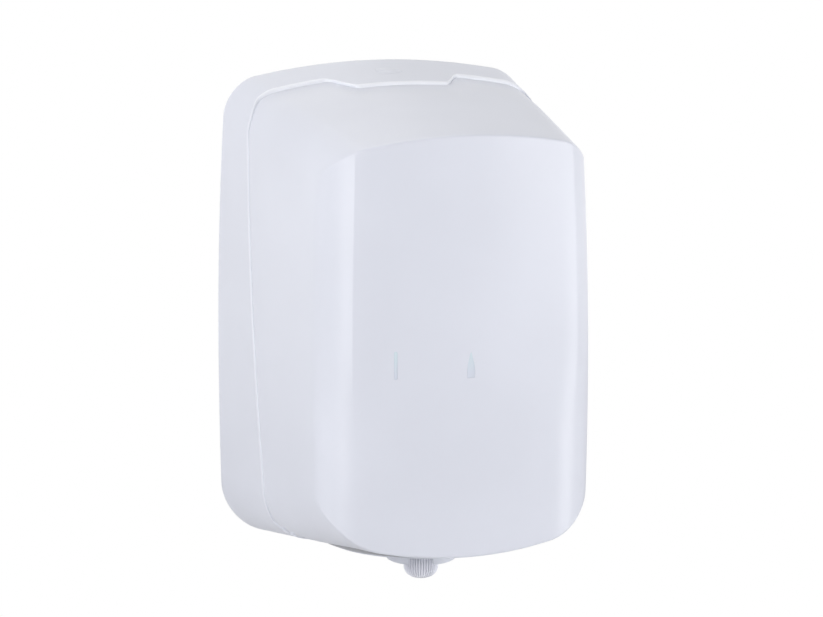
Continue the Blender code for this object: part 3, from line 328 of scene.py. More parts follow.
def tube(along, around, place):
    """A grid that is rolled up and closed at both ends."""
    shape = grid(along, around, place)
    bmesh.ops.remove_doubles(shape, verts=shape.verts, dist=MERGE)
    bmesh.ops.holes_fill(shape, edges=shape.edges[:], sides=around)
    bmesh.ops.recalc_face_normals(shape, faces=shape.faces)
    return shape


def welded(shape):
    """Merge doubles and turn all the faces the same way."""
    bmesh.ops.remove_doubles(shape, verts=shape.verts, dist=MERGE)
    bmesh.ops.recalc_face_normals(shape, faces=shape.faces)


def faced_out(shape):
    """Weld a shell and turn its faces away from the middle of the body."""
    welded(shape)
    outward = sum(face.normal.dot(face.calc_center_median() - BODY_MIDDLE) * face.calc_area()
                  for face in shape.faces)
    if outward < 0:
        bmesh.ops.reverse_faces(shape, faces=shape.faces)


def mirrored(shape, merge=MERGE):
    """Copy a half shape across the middle plane and close the joint."""
    for vertex in shape.verts:
        if abs(vertex.co.x) < 0.000005:
            vertex.co.x = 0.0
    bmesh.ops.mirror(shape, geom=shape.verts[:] + shape.edges[:] + shape.faces[:],
                     axis="X", merge_dist=0.000005)
    bmesh.ops.remove_doubles(shape, verts=shape.verts, dist=merge)


def rounded(shape, width, segments=2, edges=None):
    """Bevel all the edges of a shape, or the given ones."""
    bmesh.ops.bevel(shape, geom=edges or shape.edges[:], offset=width, offset_type="OFFSET",
                    segments=segments, profile=0.5, affect="EDGES", clamp_overlap=True, material=-1)


def eased(shape, width):
    """Bevel the edges whose faces meet at more than 60 degrees."""
    rounded(shape, width, edges=[edge for edge in shape.edges if len(edge.link_faces) == 2
                                 and edge.calc_face_angle() > radians(60)])


def sweep(x, y, radius, start, turn, steps, radius_y=None):
    """Points of an arc about (x, y), from a start angle through a turn."""
    angles = [start + turn * step / steps for step in range(steps + 1)]
    return [(x + radius * cos(angle), y + (radius_y or radius) * sin(angle)) for angle in angles]


def prism(shape, outline, low, high):
    """Push a flat outline of (x, y) points up from one level to another."""
    foot = [shape.verts.new((x, y, low)) for x, y in outline]
    grown = bmesh.ops.extrude_face_region(shape, geom=[shape.faces.new(foot)])["geom"]
    raised = [item for item in grown if isinstance(item, bmesh.types.BMVert)]
    bmesh.ops.translate(shape, vec=(0, 0, high - low), verts=raised)
    return foot + raised


def through(shape, outline, low, high, place=Matrix.Identity(4)):
    """A prism of (x, z) points that runs forwards from one depth to another, then is placed."""
    new = prism(shape, outline, low, high)
    bmesh.ops.rotate(shape, cent=(0, 0, 0), matrix=Matrix.Rotation(pi / 2, 3, "X"), verts=new)
    bmesh.ops.transform(shape, matrix=place, verts=new)


def block(shape, low, high):
    """Add a box between two corners."""
    low, high = Vector(low), Vector(high)
    corners = bmesh.ops.create_cube(shape, size=1.0)["verts"]
    bmesh.ops.scale(shape, vec=high - low, verts=corners)
    bmesh.ops.translate(shape, vec=(low + high) / 2, verts=corners)
    return corners


def middle_block(shape, half, depths, levels):
    """Add a box across the middle plane, by its half width, two depths and two levels."""
    block(shape, (-half, -depths[1], levels[0]), (half, -depths[0], levels[1]))


def soft_block(half, depths, levels, width=0.0, segments=2):
    """A bmesh of one block across the middle plane, with its edges rounded if a width is given."""
    shape = bmesh.new()
    middle_block(shape, half, depths, levels)
    if width:
        rounded(shape, width, segments)
    return shape


def rod(shape, radius, start, end, segments=48, end_radius=None):
    """Add a cylinder, or a cone, between two points."""
    start, end = Vector(start), Vector(end)
    axis = end - start
    turn = Vector((0, 0, 1)).rotation_difference(axis).to_matrix().to_4x4()
    bmesh.ops.create_cone(shape, cap_ends=True, segments=segments, radius1=radius,
                          radius2=radius if end_radius is None else end_radius, depth=axis.length,
                          matrix=Matrix.Translation((start + end) / 2) @ turn)


def posts(radius, places, segments=32, end_radius=None):
    """A bmesh of upright rods, each at an x and a depth, from one level to another."""
    shape = bmesh.new()
    for x, depth, foot, head in places:
        rod(shape, radius, (x, -depth, foot), (x, -depth, head), segments, end_radius)
    return shape


def turned(profile, steps=96, closed=True):
    """A bmesh of a profile of (radius, height) points, spun about the vertical axis."""
    shape = bmesh.new()
    points = [shape.verts.new((radius, 0, height)) for radius, height in profile]
    pairs = zip(points, points[1:] + points[:1] if closed else points[1:])
    edges = [shape.edges.new(pair) for pair in pairs]
    bmesh.ops.spin(shape, geom=points + edges, cent=(0, 0, 0), axis=(0, 0, 1), dvec=(0, 0, 0),
                   angle=2 * pi, steps=steps, use_merge=True, use_duplicate=False)
    welded(shape)
    return shape


print("shape tools ready")

# %% [markdown]
# ## From a bmesh to a piece
#
# Cut-outs are made with Boolean modifiers and walls with Solidify, both of which stay easy to
# change while a model grows. At the end they are settled into one mesh, and edges over a set
# angle are marked sharp.

# %% Helpers that make and finish a piece
def object_from(name, shape):
    mesh = bpy.data.meshes.new(name)
    shape.to_mesh(mesh)
    shape.free()
    piece = bpy.data.objects.new(name, mesh)
    bpy.context.scene.collection.objects.link(piece)
    return piece


def carve(piece, tool, operation="DIFFERENCE"):
    """Cut a bmesh out of a piece, or join it on."""
    bmesh.ops.recalc_face_normals(tool, faces=tool.faces)
    modifier = piece.modifiers.new("carve", "BOOLEAN")
    modifier.operation = operation
    modifier.solver = "EXACT"
    modifier.object = object_from(piece.name + "_tool", tool)
    modifier.object.hide_render = True


def walled(piece, thickness):
    """Give an open surface a wall that grows inwards."""
    wall = piece.modifiers.new("wall", "SOLIDIFY")
    wall.thickness = thickness
    wall.offset = -1.0


def moved(piece, matrix):
    """Move a piece together with the tools that carve it."""
    for item in [piece] + [modifier.object for modifier in piece.modifiers]:
        item.data.transform(matrix)


def settled(piece, body, finish, slot, node=None, angle=32):
    """Fix the modifiers into the mesh, then place and paint the piece."""
    tools = [modifier.object for modifier in piece.modifiers if modifier.type == "BOOLEAN"]
    graph = bpy.context.evaluated_depsgraph_get()
    mesh = bpy.data.meshes.new_from_object(piece.evaluated_get(graph))
    piece.modifiers.clear()
    piece.data = mesh
    for tool in tools:
        bpy.data.objects.remove(tool, do_unlink=True)
    mesh.shade_smooth()
    mesh.set_sharp_from_angle(angle=radians(angle))
    mesh.materials.clear()
    mesh.materials.append(finish)
    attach(piece, body)
    if node:
        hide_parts(node)
    mesh.calc_loop_triangles()
    uses = Counter(edge for face in mesh.polygons for edge in face.edge_keys)
    print(f"{piece.name}: {len(mesh.loop_triangles)} triangles,",
          sum(count != 2 for count in uses.values()), "open edges")
    return piece


print("piece tools ready")

# %% [markdown]
# ## Shader maths in plain Python
#
# A material is a web of nodes. Wiring each one by hand hides the sum that it stands for, so one
# small class wraps a socket and answers to +, - and *, and one method makes any other node.

# %% A socket that can be reckoned with
class Reading:
    """The output of a node, which takes part in sums and products."""

    def __init__(self, web, socket):
        self.web, self.socket = web, socket

    def other(self, name):
        """Another output of the same node."""
        return Reading(self.web, self.socket.node.outputs[name])

    def maths(self, operation, first, second):
        return self.web.node("ShaderNodeMath", {"operation": operation}, {0: first, 1: second})

    def __add__(self, other):
        return self.maths("ADD", self, other)

    def __sub__(self, other):
        return self.maths("SUBTRACT", self, other)

    def __mul__(self, other):
        return self.maths("MULTIPLY", self, other)

    __radd__, __rmul__ = __add__, __mul__


class Web:
    """A web of shader nodes, all of which come from one method."""

    def __init__(self, tree):
        self.tree = tree

    def feed(self, socket, value):
        if isinstance(value, Reading):
            self.tree.links.new(value.socket, socket)
        else:
            socket.default_value = value

    def node(self, kind, settings=(), values=(), output=0):
        """Make a node: its settings first, then the values or links of its sockets."""
        made = self.tree.nodes.new(kind)
        for name, value in dict(settings).items():
            setattr(made, name, value)
        for name, value in dict(values).items():
            self.feed(made.inputs[name], value)
        return Reading(self, made.outputs[output]) if made.outputs else None


print("socket tools ready")


# %% A material under construction
class Finish(Web):
    """A material whose web starts with one shader and the place on the object."""

    def __init__(self, name):
        self.material = bpy.data.materials.new(name)
        self.material.use_nodes = True
        super().__init__(self.material.node_tree)
        self.shader = self.tree.nodes["Principled BSDF"]
        self.place = self.node("ShaderNodeTexCoord", output="Object")

    def along(self, axis):
        """The place along one axis of the object."""
        return self.node("ShaderNodeSeparateXYZ", {}, {0: self.place}, axis)

    def noise(self, scale, detail=2.0):
        return self.node("ShaderNodeTexNoise", {}, {"Vector": self.place, "Scale": scale, "Detail": detail})

    def blend(self, share, first, second):
        """A colour between two colours."""
        return self.node("ShaderNodeMix", {"data_type": "RGBA"},
                         {0: share, 6: (*first, 1), 7: (*second, 1)}, 2)

    def spread(self, value, low, high, start=0.0, end=1.0):
        """Stretch a value's range from low..high to start..end, clamped."""
        return self.node("ShaderNodeMapRange", {}, {0: value, 1: low, 2: high, 3: start, 4: end})

    def bump(self, height, strength, distance):
        self.feed(self.shader.inputs["Normal"], self.node(
            "ShaderNodeBump", {}, {"Height": height, "Strength": strength, "Distance": distance}))

    def set(self, **values):
        for name, value in values.items():
            self.feed(self.shader.inputs[name.replace("_", " ")], value)

    def dress(self, share, first, second, sheen, relief=None, **values):
        """Blend two colours by a share or a noise, then vary the roughness and lay on fine relief.

        The sheen is a roughness, and the amount, scale and detail of its noise. The relief is the
        scale and detail of a noise, and its strength and distance.
        """
        rough, amount, *noise = sheen
        share = self.noise(*share) if isinstance(share, tuple) else share
        self.set(Base_Color=self.blend(share, first, second), Roughness=rough + amount * self.noise(*noise),
                 **values)
        if relief:
            self.bump(self.noise(*relief[:2]), *relief[2:])
        return self.material


print("finish tools ready")

# %% [markdown]
# ## Moulded plastic
#
# The shells are glossy white plastic with a cool, slightly blue cast. Moulded gloss isn't a
# perfect mirror: polishing leaves a very faint waviness, and the sheen varies a little. Inner
# parts come from rougher moulds, so they are satin and a touch greyer.
#
# A photograph of plastic could be laid on, but noise in Object coordinates needs no picture,
# has no seams and keeps its scale on every piece.

# %% Plastics
def moulded(name, colour, roughness, waviness, grain):
    """Moulded plastic with a faint variation of colour and sheen."""
    finish = Finish(name)
    deeper = [channel * 0.965 for channel in colour]
    cloud = finish.spread(finish.noise(9.0), 0.35, 0.65)
    finish.bump(finish.noise(130.0, 1.0) * waviness + finish.noise(2600.0) * grain, 1.0, 0.001)
    return finish.dress(cloud, deeper, colour, (roughness, 0.05, 70.0, 3.0))


GLOSS = moulded("gloss_white_plastic", (0.716, 0.735, 0.815), 0.32, 0.02, 0.004)
SATIN = moulded("satin_white_plastic", (0.66, 0.68, 0.75), 0.42, 0.02, 0.03)
ON_BASE, ON_COVER = ("base", GLOSS, "base_plastic"), ("cover", GLOSS, "cover_plastic")
ON_TRAY = ("base", SATIN, "tray_plastic")
print("plastics:", GLOSS.name, SATIN.name)

# %% [markdown]
# ## Rear base
#
# The base is a shallow dish: a flat back that lies on the wall, and a rim that rises to the seam.
# Its free edge is rounded well over and stands a little proud of the cover.
#
# Solidify and Bevel would give a wall and round edges too, but they stumble where faces crowd at
# the corners. Here one profile, drawn round the whole wall, is repeated at every station, and only
# the two flats of the back are filled afterwards.

# %% Profile of the base
def quarter(radius, steps=4):
    """A quarter circle from (0, radius) to (radius, 0)."""
    turns = [pi / 2 * step / steps for step in range(steps + 1)]
    return [(radius * (1 - cos(turn)), radius * (1 - sin(turn))) for turn in turns]


# Each entry is a share of the seam's depth, a depth added to it, and an inset from the skin.
BASE_PROFILE = ([(0, a, b) for a, b in quarter(0.0015)]
                + [(share / 12, 0.0, 0.0) for share in range(1, 12)]
                + [(1, -a, b) for a, b in reversed(quarter(0.0022, 6))]
                + [(1, -a, WALL - b) for a, b in quarter(0.0004, 2)]
                + [(share / 12, 0.0, WALL) for share in range(11, 1, -1)] + [(0, WALL, WALL)])
print("points round the wall:", len(BASE_PROFILE))

# %% Shell of the base
def base_point(i, j):
    share, more, inset = BASE_PROFILE[j]
    return station_point(STATIONS[i], seam_depth(STATIONS[i]) * share + more, inset)


shape = grid(LAST, len(BASE_PROFILE) - 1, base_point)
mirrored(shape)
for flat_depth in (0.0, WALL):
    edges = [edge for edge in shape.edges if edge.is_boundary
             and all(abs(vertex.co.y + flat_depth) < 0.0005 for vertex in edge.verts)]
    bmesh.ops.contextual_create(shape, geom=edges)
faced_out(shape)
base = object_from("base_shell", shape)

# %% [markdown]
# The back touches the wall with a raised rim and a pad round each keyhole only, because a large
# flat moulding never comes out quite flat. Shallow rings show where pins pushed it out of its
# mould. The recess is cut first and the pads are then joined on again.

# %% Recess, pads and pin marks of the back
KEYHOLES = [(x, z) for x in (-0.075, 0.075) for z in (-0.105, 0.105)]
PIN_MARKS = ((-0.075, 0.0), (0.075, 0.0), (0.0, 0.125), (0.0, -0.125), (0.0, 0.0), (-0.04, 0.06),
             (0.04, 0.06), (-0.04, -0.06), (0.04, -0.06))
RECESS, PAD_PROUD = 0.0007, 0.004


def plate(half_x, half_z, radius, x=0.0, z=0.0):
    """The outline of a plate with round corners about a middle, as (x, z) points."""
    corners = ((0, 1, 1), (1, -1, 1), (2, -1, -1), (3, 1, -1))
    return [point for quarters, right, up in corners
            for point in sweep(x + right * (half_x - radius), z + up * (half_z - radius), radius,
                               pi / 2 * quarters, pi / 2, 10)]


tool = bmesh.new()
through(tool, plate(0.1015, 0.152, 0.022), -0.004, RECESS)
carve(base, tool)
tool = bmesh.new()
for x, z in KEYHOLES:
    through(tool, plate(0.0085, 0.0125, 0.0084, x, z + PAD_PROUD), 0.0, 0.0015)
carve(base, tool, "UNION")
tool = bmesh.new()
for x, z in PIN_MARKS:
    rod(tool, 0.004, (x, 0.001, z), (x, -RECESS - 0.0002, z), 40)
carve(base, tool)
print("pads:", len(KEYHOLES), "pin marks:", len(PIN_MARKS))

# %% [markdown]
# Four keyholes take the wall screws: a head passes the round part and the shank then slides up
# the slot. A round hole in the tab takes the key plate. Each keyhole's outline is one closed line,
# so that a single clean cut makes it.

# %% Keyholes and the hole for the key plate
LOCK_DEPTH = 0.034
HEAD, SHANK, TRAVEL = 0.0045, 0.0024, 0.01
meet = asin(SHANK / HEAD)
tool = bmesh.new()
for x, z in KEYHOLES:
    through(tool, sweep(x, z, HEAD, pi / 2 + meet, 2 * pi - 2 * meet, 40)
            + sweep(x, z + TRAVEL, SHANK, 0.0, pi, 16), -0.005, 0.005)
roof = top_level(0.0, LOCK_DEPTH)
rod(tool, 0.0095, (0, -LOCK_DEPTH, roof - 0.006), (0, -LOCK_DEPTH, roof + 0.003), 64)
carve(base, tool)
settled(base, *ON_BASE, "rear_base")

# %% [markdown]
# A rounded bead runs along the free edge and arches down to the cover. Its colour is a painted
# highlight: paler than the shell, most of all on the top, it is what shows as a pale line along
# the seam. The painted highlight therefore depends on the height.

# %% Bead along the seam
finish = Finish("seam_plastic_painted_highlight")
# painted highlight: the bead's colour is paler towards the top, with a little random variation
pale = finish.spread(finish.along("Z"), 0.148, 0.159) + 0.2 * finish.noise(90.0)
SEAM_PAINTED_HIGHLIGHT = finish.dress(pale, (0.745, 0.765, 0.84), (0.87, 0.885, 0.94), (0.3, 0.05, 70.0, 3.0),
                         (2600.0, 2.0, 0.2, 0.00005))


def bead_point(i, j):
    """The bead's section: a flat back inside the wall, and an arch that turns down to the cover."""
    station = STATIONS[i]
    reach = seam_step(station) + 0.0002
    turns = [pi / 2 * step / 8 for step in range(9)]
    section = [(-0.003, 0.0026), (-0.003, -0.00002), (-0.0026, -0.00012)]
    section += [(reach * (sin(turn) - 1), reach - (reach + 0.0002) * cos(turn)) for turn in turns]
    section += [(0.0, 0.0026), (-0.003, 0.0026)]
    return station_point(station, seam_depth(station) + section[j][0], section[j][1])


shape = grid(LAST, 13, bead_point)
mirrored(shape)
welded(shape)
settled(object_from("seam_bead", shape), "base", SEAM_PAINTED_HIGHLIGHT, "base_plastic")

# %% [markdown]
# Inside, a lip steps in under the cover to close the seam, two ribs stiffen the back, bosses take
# the screws, and two arms carry the hinge. They are bevelled blocks and rods whose feet stand in
# the wall, as they would be moulded in one with it.

# %% Lip behind the seam
lip_stations = [station for station in STATIONS
                if station[0] == "top" or (station[0] == "side" and station[1] > 0.3)]
LIP_STEPS = ((-0.008, 0.0022), (-0.0012, 0.0022), (0.0006, 0.0049), (0.006, 0.0049))


def lip_point(i, j):
    more, inset = LIP_STEPS[j]
    return station_point(lip_stations[i], seam_depth(lip_stations[i]) + more, inset)


shape = grid(len(lip_stations) - 1, len(LIP_STEPS) - 1, lip_point)
mirrored(shape)
faced_out(shape)
lip = object_from("seam_lip", shape)
walled(lip, 0.002)
settled(lip, *ON_BASE)

# %% Ribs, bosses and hinge arms
TRAY_LOW = FOOT + 0.02525
EAR_SIDE, HINGE_DEPTH = 0.083, SEAM_BOTTOM + 0.008
HINGE_LEVEL = bottom_level(EAR_SIDE / half_width(HINGE_DEPTH), HINGE_DEPTH) + 0.00705
LOCK_TOP = TOP - 0.01025
TRAY_SCREWS = [(x, depth) for x in (-0.058, 0.058) for depth in (0.018, SEAM_BOTTOM - 0.014)]
LOCK_SCREWS = (-0.0185, 0.0185)
ARM_SIDES = ((-0.082, -0.074), (0.074, 0.082))


def wall_middle(level, x, depth, side):
    """The middle of the top or bottom wall at a place."""
    return level(abs(x) / half_width(depth), depth) + side * WALL / 2


def hinge_eyes(shape, sides):
    """Round eyes on the hinge line, each from one side to another."""
    for start, end in sides:
        rod(shape, 0.0045, (start, -HINGE_DEPTH, HINGE_LEVEL), (end, -HINGE_DEPTH, HINGE_LEVEL))


shape = bmesh.new()
for x in (-0.035, 0.035):
    block(shape, (x - 0.00125, -0.007, FOOT + 0.03825), (x + 0.00125, -0.002, TOP - 0.05325))
rounded(shape, 0.0005)
settled(object_from("back_ribs", shape), *ON_BASE)

lower = [(x, depth, wall_middle(bottom_level, x, depth, 1), TRAY_LOW - 0.0003) for x, depth in TRAY_SCREWS]
upper = [(x, LOCK_DEPTH, LOCK_TOP + 0.0003, wall_middle(top_level, x, LOCK_DEPTH, -1)) for x in LOCK_SCREWS]
shape = posts(0.0042, lower + upper)
eased(shape, 0.0004)
settled(object_from("screw_bosses", shape), *ON_BASE)

root = HINGE_DEPTH - 0.02
shape = bmesh.new()
for left, right in ARM_SIDES:
    for vertex in block(shape, (left, -SEAM_BOTTOM + 0.001, 0.0), (right, -root, 1.0)):
        foot = wall_middle(bottom_level, vertex.co.x, -vertex.co.y, 1)
        vertex.co.z = foot if vertex.co.z < 0.5 else HINGE_LEVEL + 0.0045
    block(shape, (left, -HINGE_DEPTH + 0.002, HINGE_LEVEL - 0.00435),
          (right, -root - 0.002, HINGE_LEVEL + 0.00435))
rounded(shape, 0.0005)
hinge_eyes(shape, ARM_SIDES)
settled(object_from("hinge_arms", shape), *ON_BASE)

# %% [markdown]
# ## Front cover
#
# The cover has the same walls, drawn from the seam to the front rim, and a second grid fills the
# bowed front. Where the two meet there is a crisp ridge, which fades where the front turns into
# the side. It is rounded by a short curve that is pulled towards the sharp corner but doesn't
# reach it, as in a drawing program. The inside is made in the same way, one wall further in.

# %% Walls of the cover
COVER_RINGS, RIDGE_ROUND, RIDGE_STEPS = 26, 0.0018, 5


def ridge_round(column):
    return RIDGE_ROUND * (1 - smooth_step(column, COLUMNS - 16, COLUMNS - 5))


def wall_end(i, inset):
    """The depth at which a wall hands over to the ridge."""
    face, share, rim = STATIONS[i]
    if face == "side":
        return rim
    column, normals = (i, LOW_NORMALS) if face == "bottom" else (LAST - i, HIGH_NORMALS)
    return rim - ridge_round(column) - inset * normals[column].y


def cover_wall(i):
    """The wall at a station: outside from the ridge to the seam, round the edge, and back inside."""
    station = STATIONS[i]
    start, step = seam_depth(station) + SEAM_GAP, seam_step(station)

    def at(depth, inset):
        return station_point(station, depth, inset + step * (1 - smooth_step(depth - start, 0.0, STEP_FADE)))

    def rings(inset):
        first, end = start + 0.0005, wall_end(i, inset)
        return [at(first + (end - first) * (ring / COVER_RINGS) ** 1.3, inset)
                for ring in range(1, COVER_RINGS + 1)]

    return (rings(0.0)[::-1] + [at(start + a, b) for a, b in reversed(quarter(0.0002, 2))]
            + [at(start + a, WALL - b) for a, b in quarter(0.0005, 3)] + rings(WALL))


WALLS = [cover_wall(i) for i in range(len(STATIONS))]
print("points round the cover's wall:", len(WALLS[0]))

# %% Shell of the cover
def front_row(column, row, inset):
    """A point of the front. Rows run from the bottom ridge, up the front, over the top ridge."""
    share = min(max(row - RIDGE_STEPS, 0), SIDE_ROWS) / SIDE_ROWS
    point = front_point(column, share, inset, ridge_round(column))
    past = RIDGE_STEPS - row if row < RIDGE_STEPS else row - RIDGE_STEPS - SIDE_ROWS
    if past <= 0:
        return point
    corner = front_point(column, share, inset)
    end = WALLS[column if row < RIDGE_STEPS else -1 - column][0 if inset == 0 else -1]
    pull = past / RIDGE_STEPS
    return point.lerp(corner, pull).lerp(corner.lerp(end, pull), pull)


shape = grid(LAST, len(WALLS[0]) - 1, lambda i, j: WALLS[i][j])
for inset in (0.0, WALL):
    grid(COLUMNS, SIDE_ROWS + 2 * RIDGE_STEPS, lambda i, j: front_row(i, j, inset), shape)
mirrored(shape, 0.00001)
faced_out(shape)
cover = object_from("cover_shell", shape)

# %% [markdown]
# The cover is open below, round the tray, so that it can swing down past the nozzle. It is also
# notched round the hinge arms, and its front has a slot for the level window and a shallow,
# drop-shaped recess in the middle.

# %% Openings of the cover
TRAY_HALF, TRAY_REACH = WIDTH / 2 - 0.0475, DEPTH - 0.04 - ROLL_DEPTH


def tray_outline(grow, back):
    """Straight sides and a half-round front, as (x, y) points."""
    half, reach = TRAY_HALF + grow, TRAY_REACH + grow
    return [(-half, -back)] + sweep(0.0, -ROLL_DEPTH, half, pi, pi, 96, reach) + [(half, -back)]


def front_frame(x, z):
    """The frame on the front at a place, whose +Y points into the cover."""
    depth = BOW_CENTRE + sqrt(BOW_RADIUS ** 2 - x ** 2)
    return Matrix.Translation(skin(x, depth, z)) @ Matrix.Rotation(asin(x / BOW_RADIUS), 4, "Z")


def slot_outline(width, height):
    """A slot with round ends, as (x, z) points."""
    upper = sweep(0.0, (height - width) / 2, width / 2, 0.0, pi, 16)
    return upper + [(-x, -z) for x, z in upper]


WINDOW = front_frame(0.0665 - WIDTH / 2, FOOT + 0.16825)
CENTRE = front_frame(0.0, -0.007)
DROP_SIDE = ((0.0026, -0.0085), (0.0027, -0.004), (0.0023, 0.0005), (0.0013, 0.0045), (0.0004, 0.0085))
DROP = [(-0.0026, -0.0085), *DROP_SIDE, *[(-x, z) for x, z in DROP_SIDE[:0:-1]]]

tool = bmesh.new()
prism(tool, tray_outline(0.005, SEAM_BOTTOM - 0.002), FOOT - 0.002, TRAY_LOW + 0.018)
carve(cover, tool)
carve(cover, soft_block(0.0825, (WALL, HINGE_DEPTH + 0.009), (-HEIGHT, HINGE_LEVEL + 0.0045)))
carve(cover, soft_block(WIDTH, (WALL, HINGE_DEPTH - 0.0015), (-HEIGHT, HINGE_LEVEL)))
tool = bmesh.new()
through(tool, slot_outline(0.0024, 0.019), -WALL - 0.002, 0.002, WINDOW)
through(tool, [(x * 1.02, z * 1.005) for x, z in DROP], -0.0007, 0.002, CENTRE)
carve(cover, tool)
settled(cover, *ON_COVER, "front_cover")

# %% [markdown]
# Inside its lower corners the cover has two ears that turn on the hinge pins, and under its top a
# catch that the latch's tooth hooks behind.

# %% Ears and catch
shape = bmesh.new()
for sign in (-1, 1):
    for vertex in bmesh.ops.create_cube(shape, size=1.0)["verts"]:
        depth = HINGE_DEPTH + (0.012 if vertex.co.y < 0 else 0.00015)
        foot = bottom_level(EAR_SIDE / half_width(depth), depth) + WALL
        vertex.co = (sign * (EAR_SIDE + (0.003 if vertex.co.x > 0 else 0.0)), -depth,
                     HINGE_LEVEL + 0.0042 if vertex.co.z > 0 else foot)
bmesh.ops.recalc_face_normals(shape, faces=shape.faces)
rounded(shape, 0.0004)
hinge_eyes(shape, ((-0.088, -0.08315), (0.08315, 0.088)))
settled(object_from("hinge_ears", shape), *ON_COVER)

CATCH_HALF, CATCH_LEVEL = 0.008, LOCK_TOP - 0.013
shape = bmesh.new()
middle_block(shape, CATCH_HALF, (0.0825, 0.086), (CATCH_LEVEL, top_level(0.0, 0.086) - WALL))
middle_block(shape, CATCH_HALF, (0.062, 0.0835), (CATCH_LEVEL + 0.00015, CATCH_LEVEL + 0.003))
middle_block(shape, CATCH_HALF, (0.06215, 0.065), (CATCH_LEVEL - 0.004, CATCH_LEVEL + 0.002))
rounded(shape, 0.0004)
settled(object_from("cover_catch", shape), *ON_COVER)

# %% [markdown]
# ## Level window and centre pane
#
# A thin upright pane left of the middle shows how much roll is left, and a drop-shaped one sits in
# the middle. Both fill their openings closely, so they are hardly more than a cool tint. Real clear
# plastic would show the inside too, but transmission costs samples and doesn't survive every
# export, so a tint with a clear gloss stands for it.

# %% Window plastic and its panes
finish = Finish("clear_window_plastic")
tint = finish.spread(finish.along("Z"), -0.012, 0.001) + 0.25 * finish.noise(160.0)
WINDOW_PLASTIC = finish.dress(tint, (0.67, 0.7, 0.8), (0.64, 0.735, 0.8), (0.2, 0.06, 300.0, 1.0),
                              Coat_Weight=0.3)

shape = bmesh.new()
through(shape, slot_outline(0.00235, 0.01895), -0.0038, -0.00015, WINDOW)
through(shape, slot_outline(0.006, 0.024), -0.0045, -0.0033, WINDOW)
eased(shape, 0.00008)
settled(object_from("window_pane", shape), "cover", WINDOW_PLASTIC, "window_plastic", "level_window")

shape = bmesh.new()
through(shape, DROP, -0.0006, -0.0001, CENTRE)
eased(shape, 0.00008)
settled(object_from("centre_pane", shape), "cover", WINDOW_PLASTIC, "window_plastic")

# %% [markdown]
# ## Outlet tray, collar and ring nut
#
# The roll stands on a shelf with a low rim. A round collar hangs below it and is clamped by a
# ring nut with finger lugs. The tray is one outline pushed up, then its top face is inset and
# pushed down again, which is how its rim keeps the same thickness all round.

# %% Tray
TRAY_THICKNESS, RIM_HEIGHT, TRAY_DRIP = 0.003, 0.005, 0.0006
TRAY_TOP = TRAY_LOW + TRAY_THICKNESS


def press(shape, face, border, distance):
    """Inset a face and push its middle up or down."""
    bmesh.ops.inset_region(shape, faces=[face], thickness=border, use_even_offset=True)
    bmesh.ops.translate(shape, vec=(0, 0, distance), verts=face.verts[:])


shape = bmesh.new()
prism(shape, tray_outline(-0.0012, 0.008), TRAY_LOW - TRAY_DRIP, TRAY_TOP + RIM_HEIGHT)
bmesh.ops.recalc_face_normals(shape, faces=shape.faces)
bottom_face, top_face = sorted((face for face in shape.faces if abs(face.normal.z) > 0.9),
                               key=lambda face: face.calc_center_median().z)
press(shape, top_face, 0.0025, -RIM_HEIGHT)
press(shape, bottom_face, 0.0022, TRAY_DRIP)
eased(shape, 0.0005)
tray = object_from("tray_shelf", shape)
tool = bmesh.new()
for x, depth, *size in [(0, ROLL_DEPTH, 0.0205, 96)] + [(*place, 0.002, 32) for place in TRAY_SCREWS]:
    rod(tool, size[0], (x, -depth, TRAY_LOW - 0.002), (x, -depth, TRAY_LOW + 0.005), size[1])
carve(tray, tool)
settled(tray, *ON_TRAY, "outlet_tray")

# %% [markdown]
# A soft grey seal stands on the tray's edge and closes the gap to the cover, and a flap of the
# same vinyl closes the gap under each hinge. Their grey is painted shade: they darken the gaps
# along the lower left edge into short grey lines, where shade falls under the cover. The seal is
# one small section carried along the tray's outline.

# %% Soft materials, seal and flaps
RUBBER = Finish("soft_rubber").dress((500.0, 3.0), (0.03, 0.032, 0.036), (0.055, 0.058, 0.064),
                                     (0.62, 0.2, 900.0, 2.0), (1500.0, 2.0, 0.3, 0.0001))
# painted shade: a grey for the seal and flaps that darkens the gaps under the cover's lower edge
SHADE_VINYL = Finish("grey_vinyl_painted_shade").dress((300.0, 3.0), (0.36, 0.365, 0.39), (0.42, 0.425, 0.45),
                                   (0.5, 0.1, 700.0, 2.0), (1500.0, 2.0, 0.3, 0.0001))

SEAL_OUT, SEAL_IN, SEAL_LOW, SEAL_HIGH = 0.0037, -0.0014, TRAY_LOW + 0.0019, TRAY_LOW + 0.0072
section = ((SEAL_OUT, SEAL_LOW), (SEAL_IN, SEAL_LOW), (SEAL_IN, SEAL_HIGH), (SEAL_OUT, SEAL_HIGH),
           (SEAL_OUT, SEAL_LOW))
outlines = [tray_outline(grow, SEAM_BOTTOM + 0.004) for grow, level in section]
shape = tube(len(outlines[0]) - 1, 4, lambda i, j: Vector((*outlines[j][i], section[j][1])))
settled(object_from("tray_shade_seal", shape), "base", SHADE_VINYL, "washer_rubber")


def flap_point(i, j):
    depth = 0.0838 + 0.0116 * j / 8
    share = (0.058 + 0.024 * i / 12) / half_width(depth)
    return station_point(("bottom", share, 0.0), depth, 0.001 - 0.0006 * j / 8)


shape = grid(12, 8, flap_point)
mirrored(shape)
faced_out(shape)
flaps = object_from("hinge_shade_flaps", shape)
walled(flaps, 0.001)
settled(flaps, "base", SHADE_VINYL, "washer_rubber")

# %% Collar and ring nut
COLLAR_LOW, COLLAR_RADIUS = TRAY_LOW - 0.0173, 0.0245
collar_top, spigot_top = TRAY_LOW - 0.0003, TRAY_TOP + 0.006
OVER_OUTLET = Matrix.Translation((0, -ROLL_DEPTH, 0))

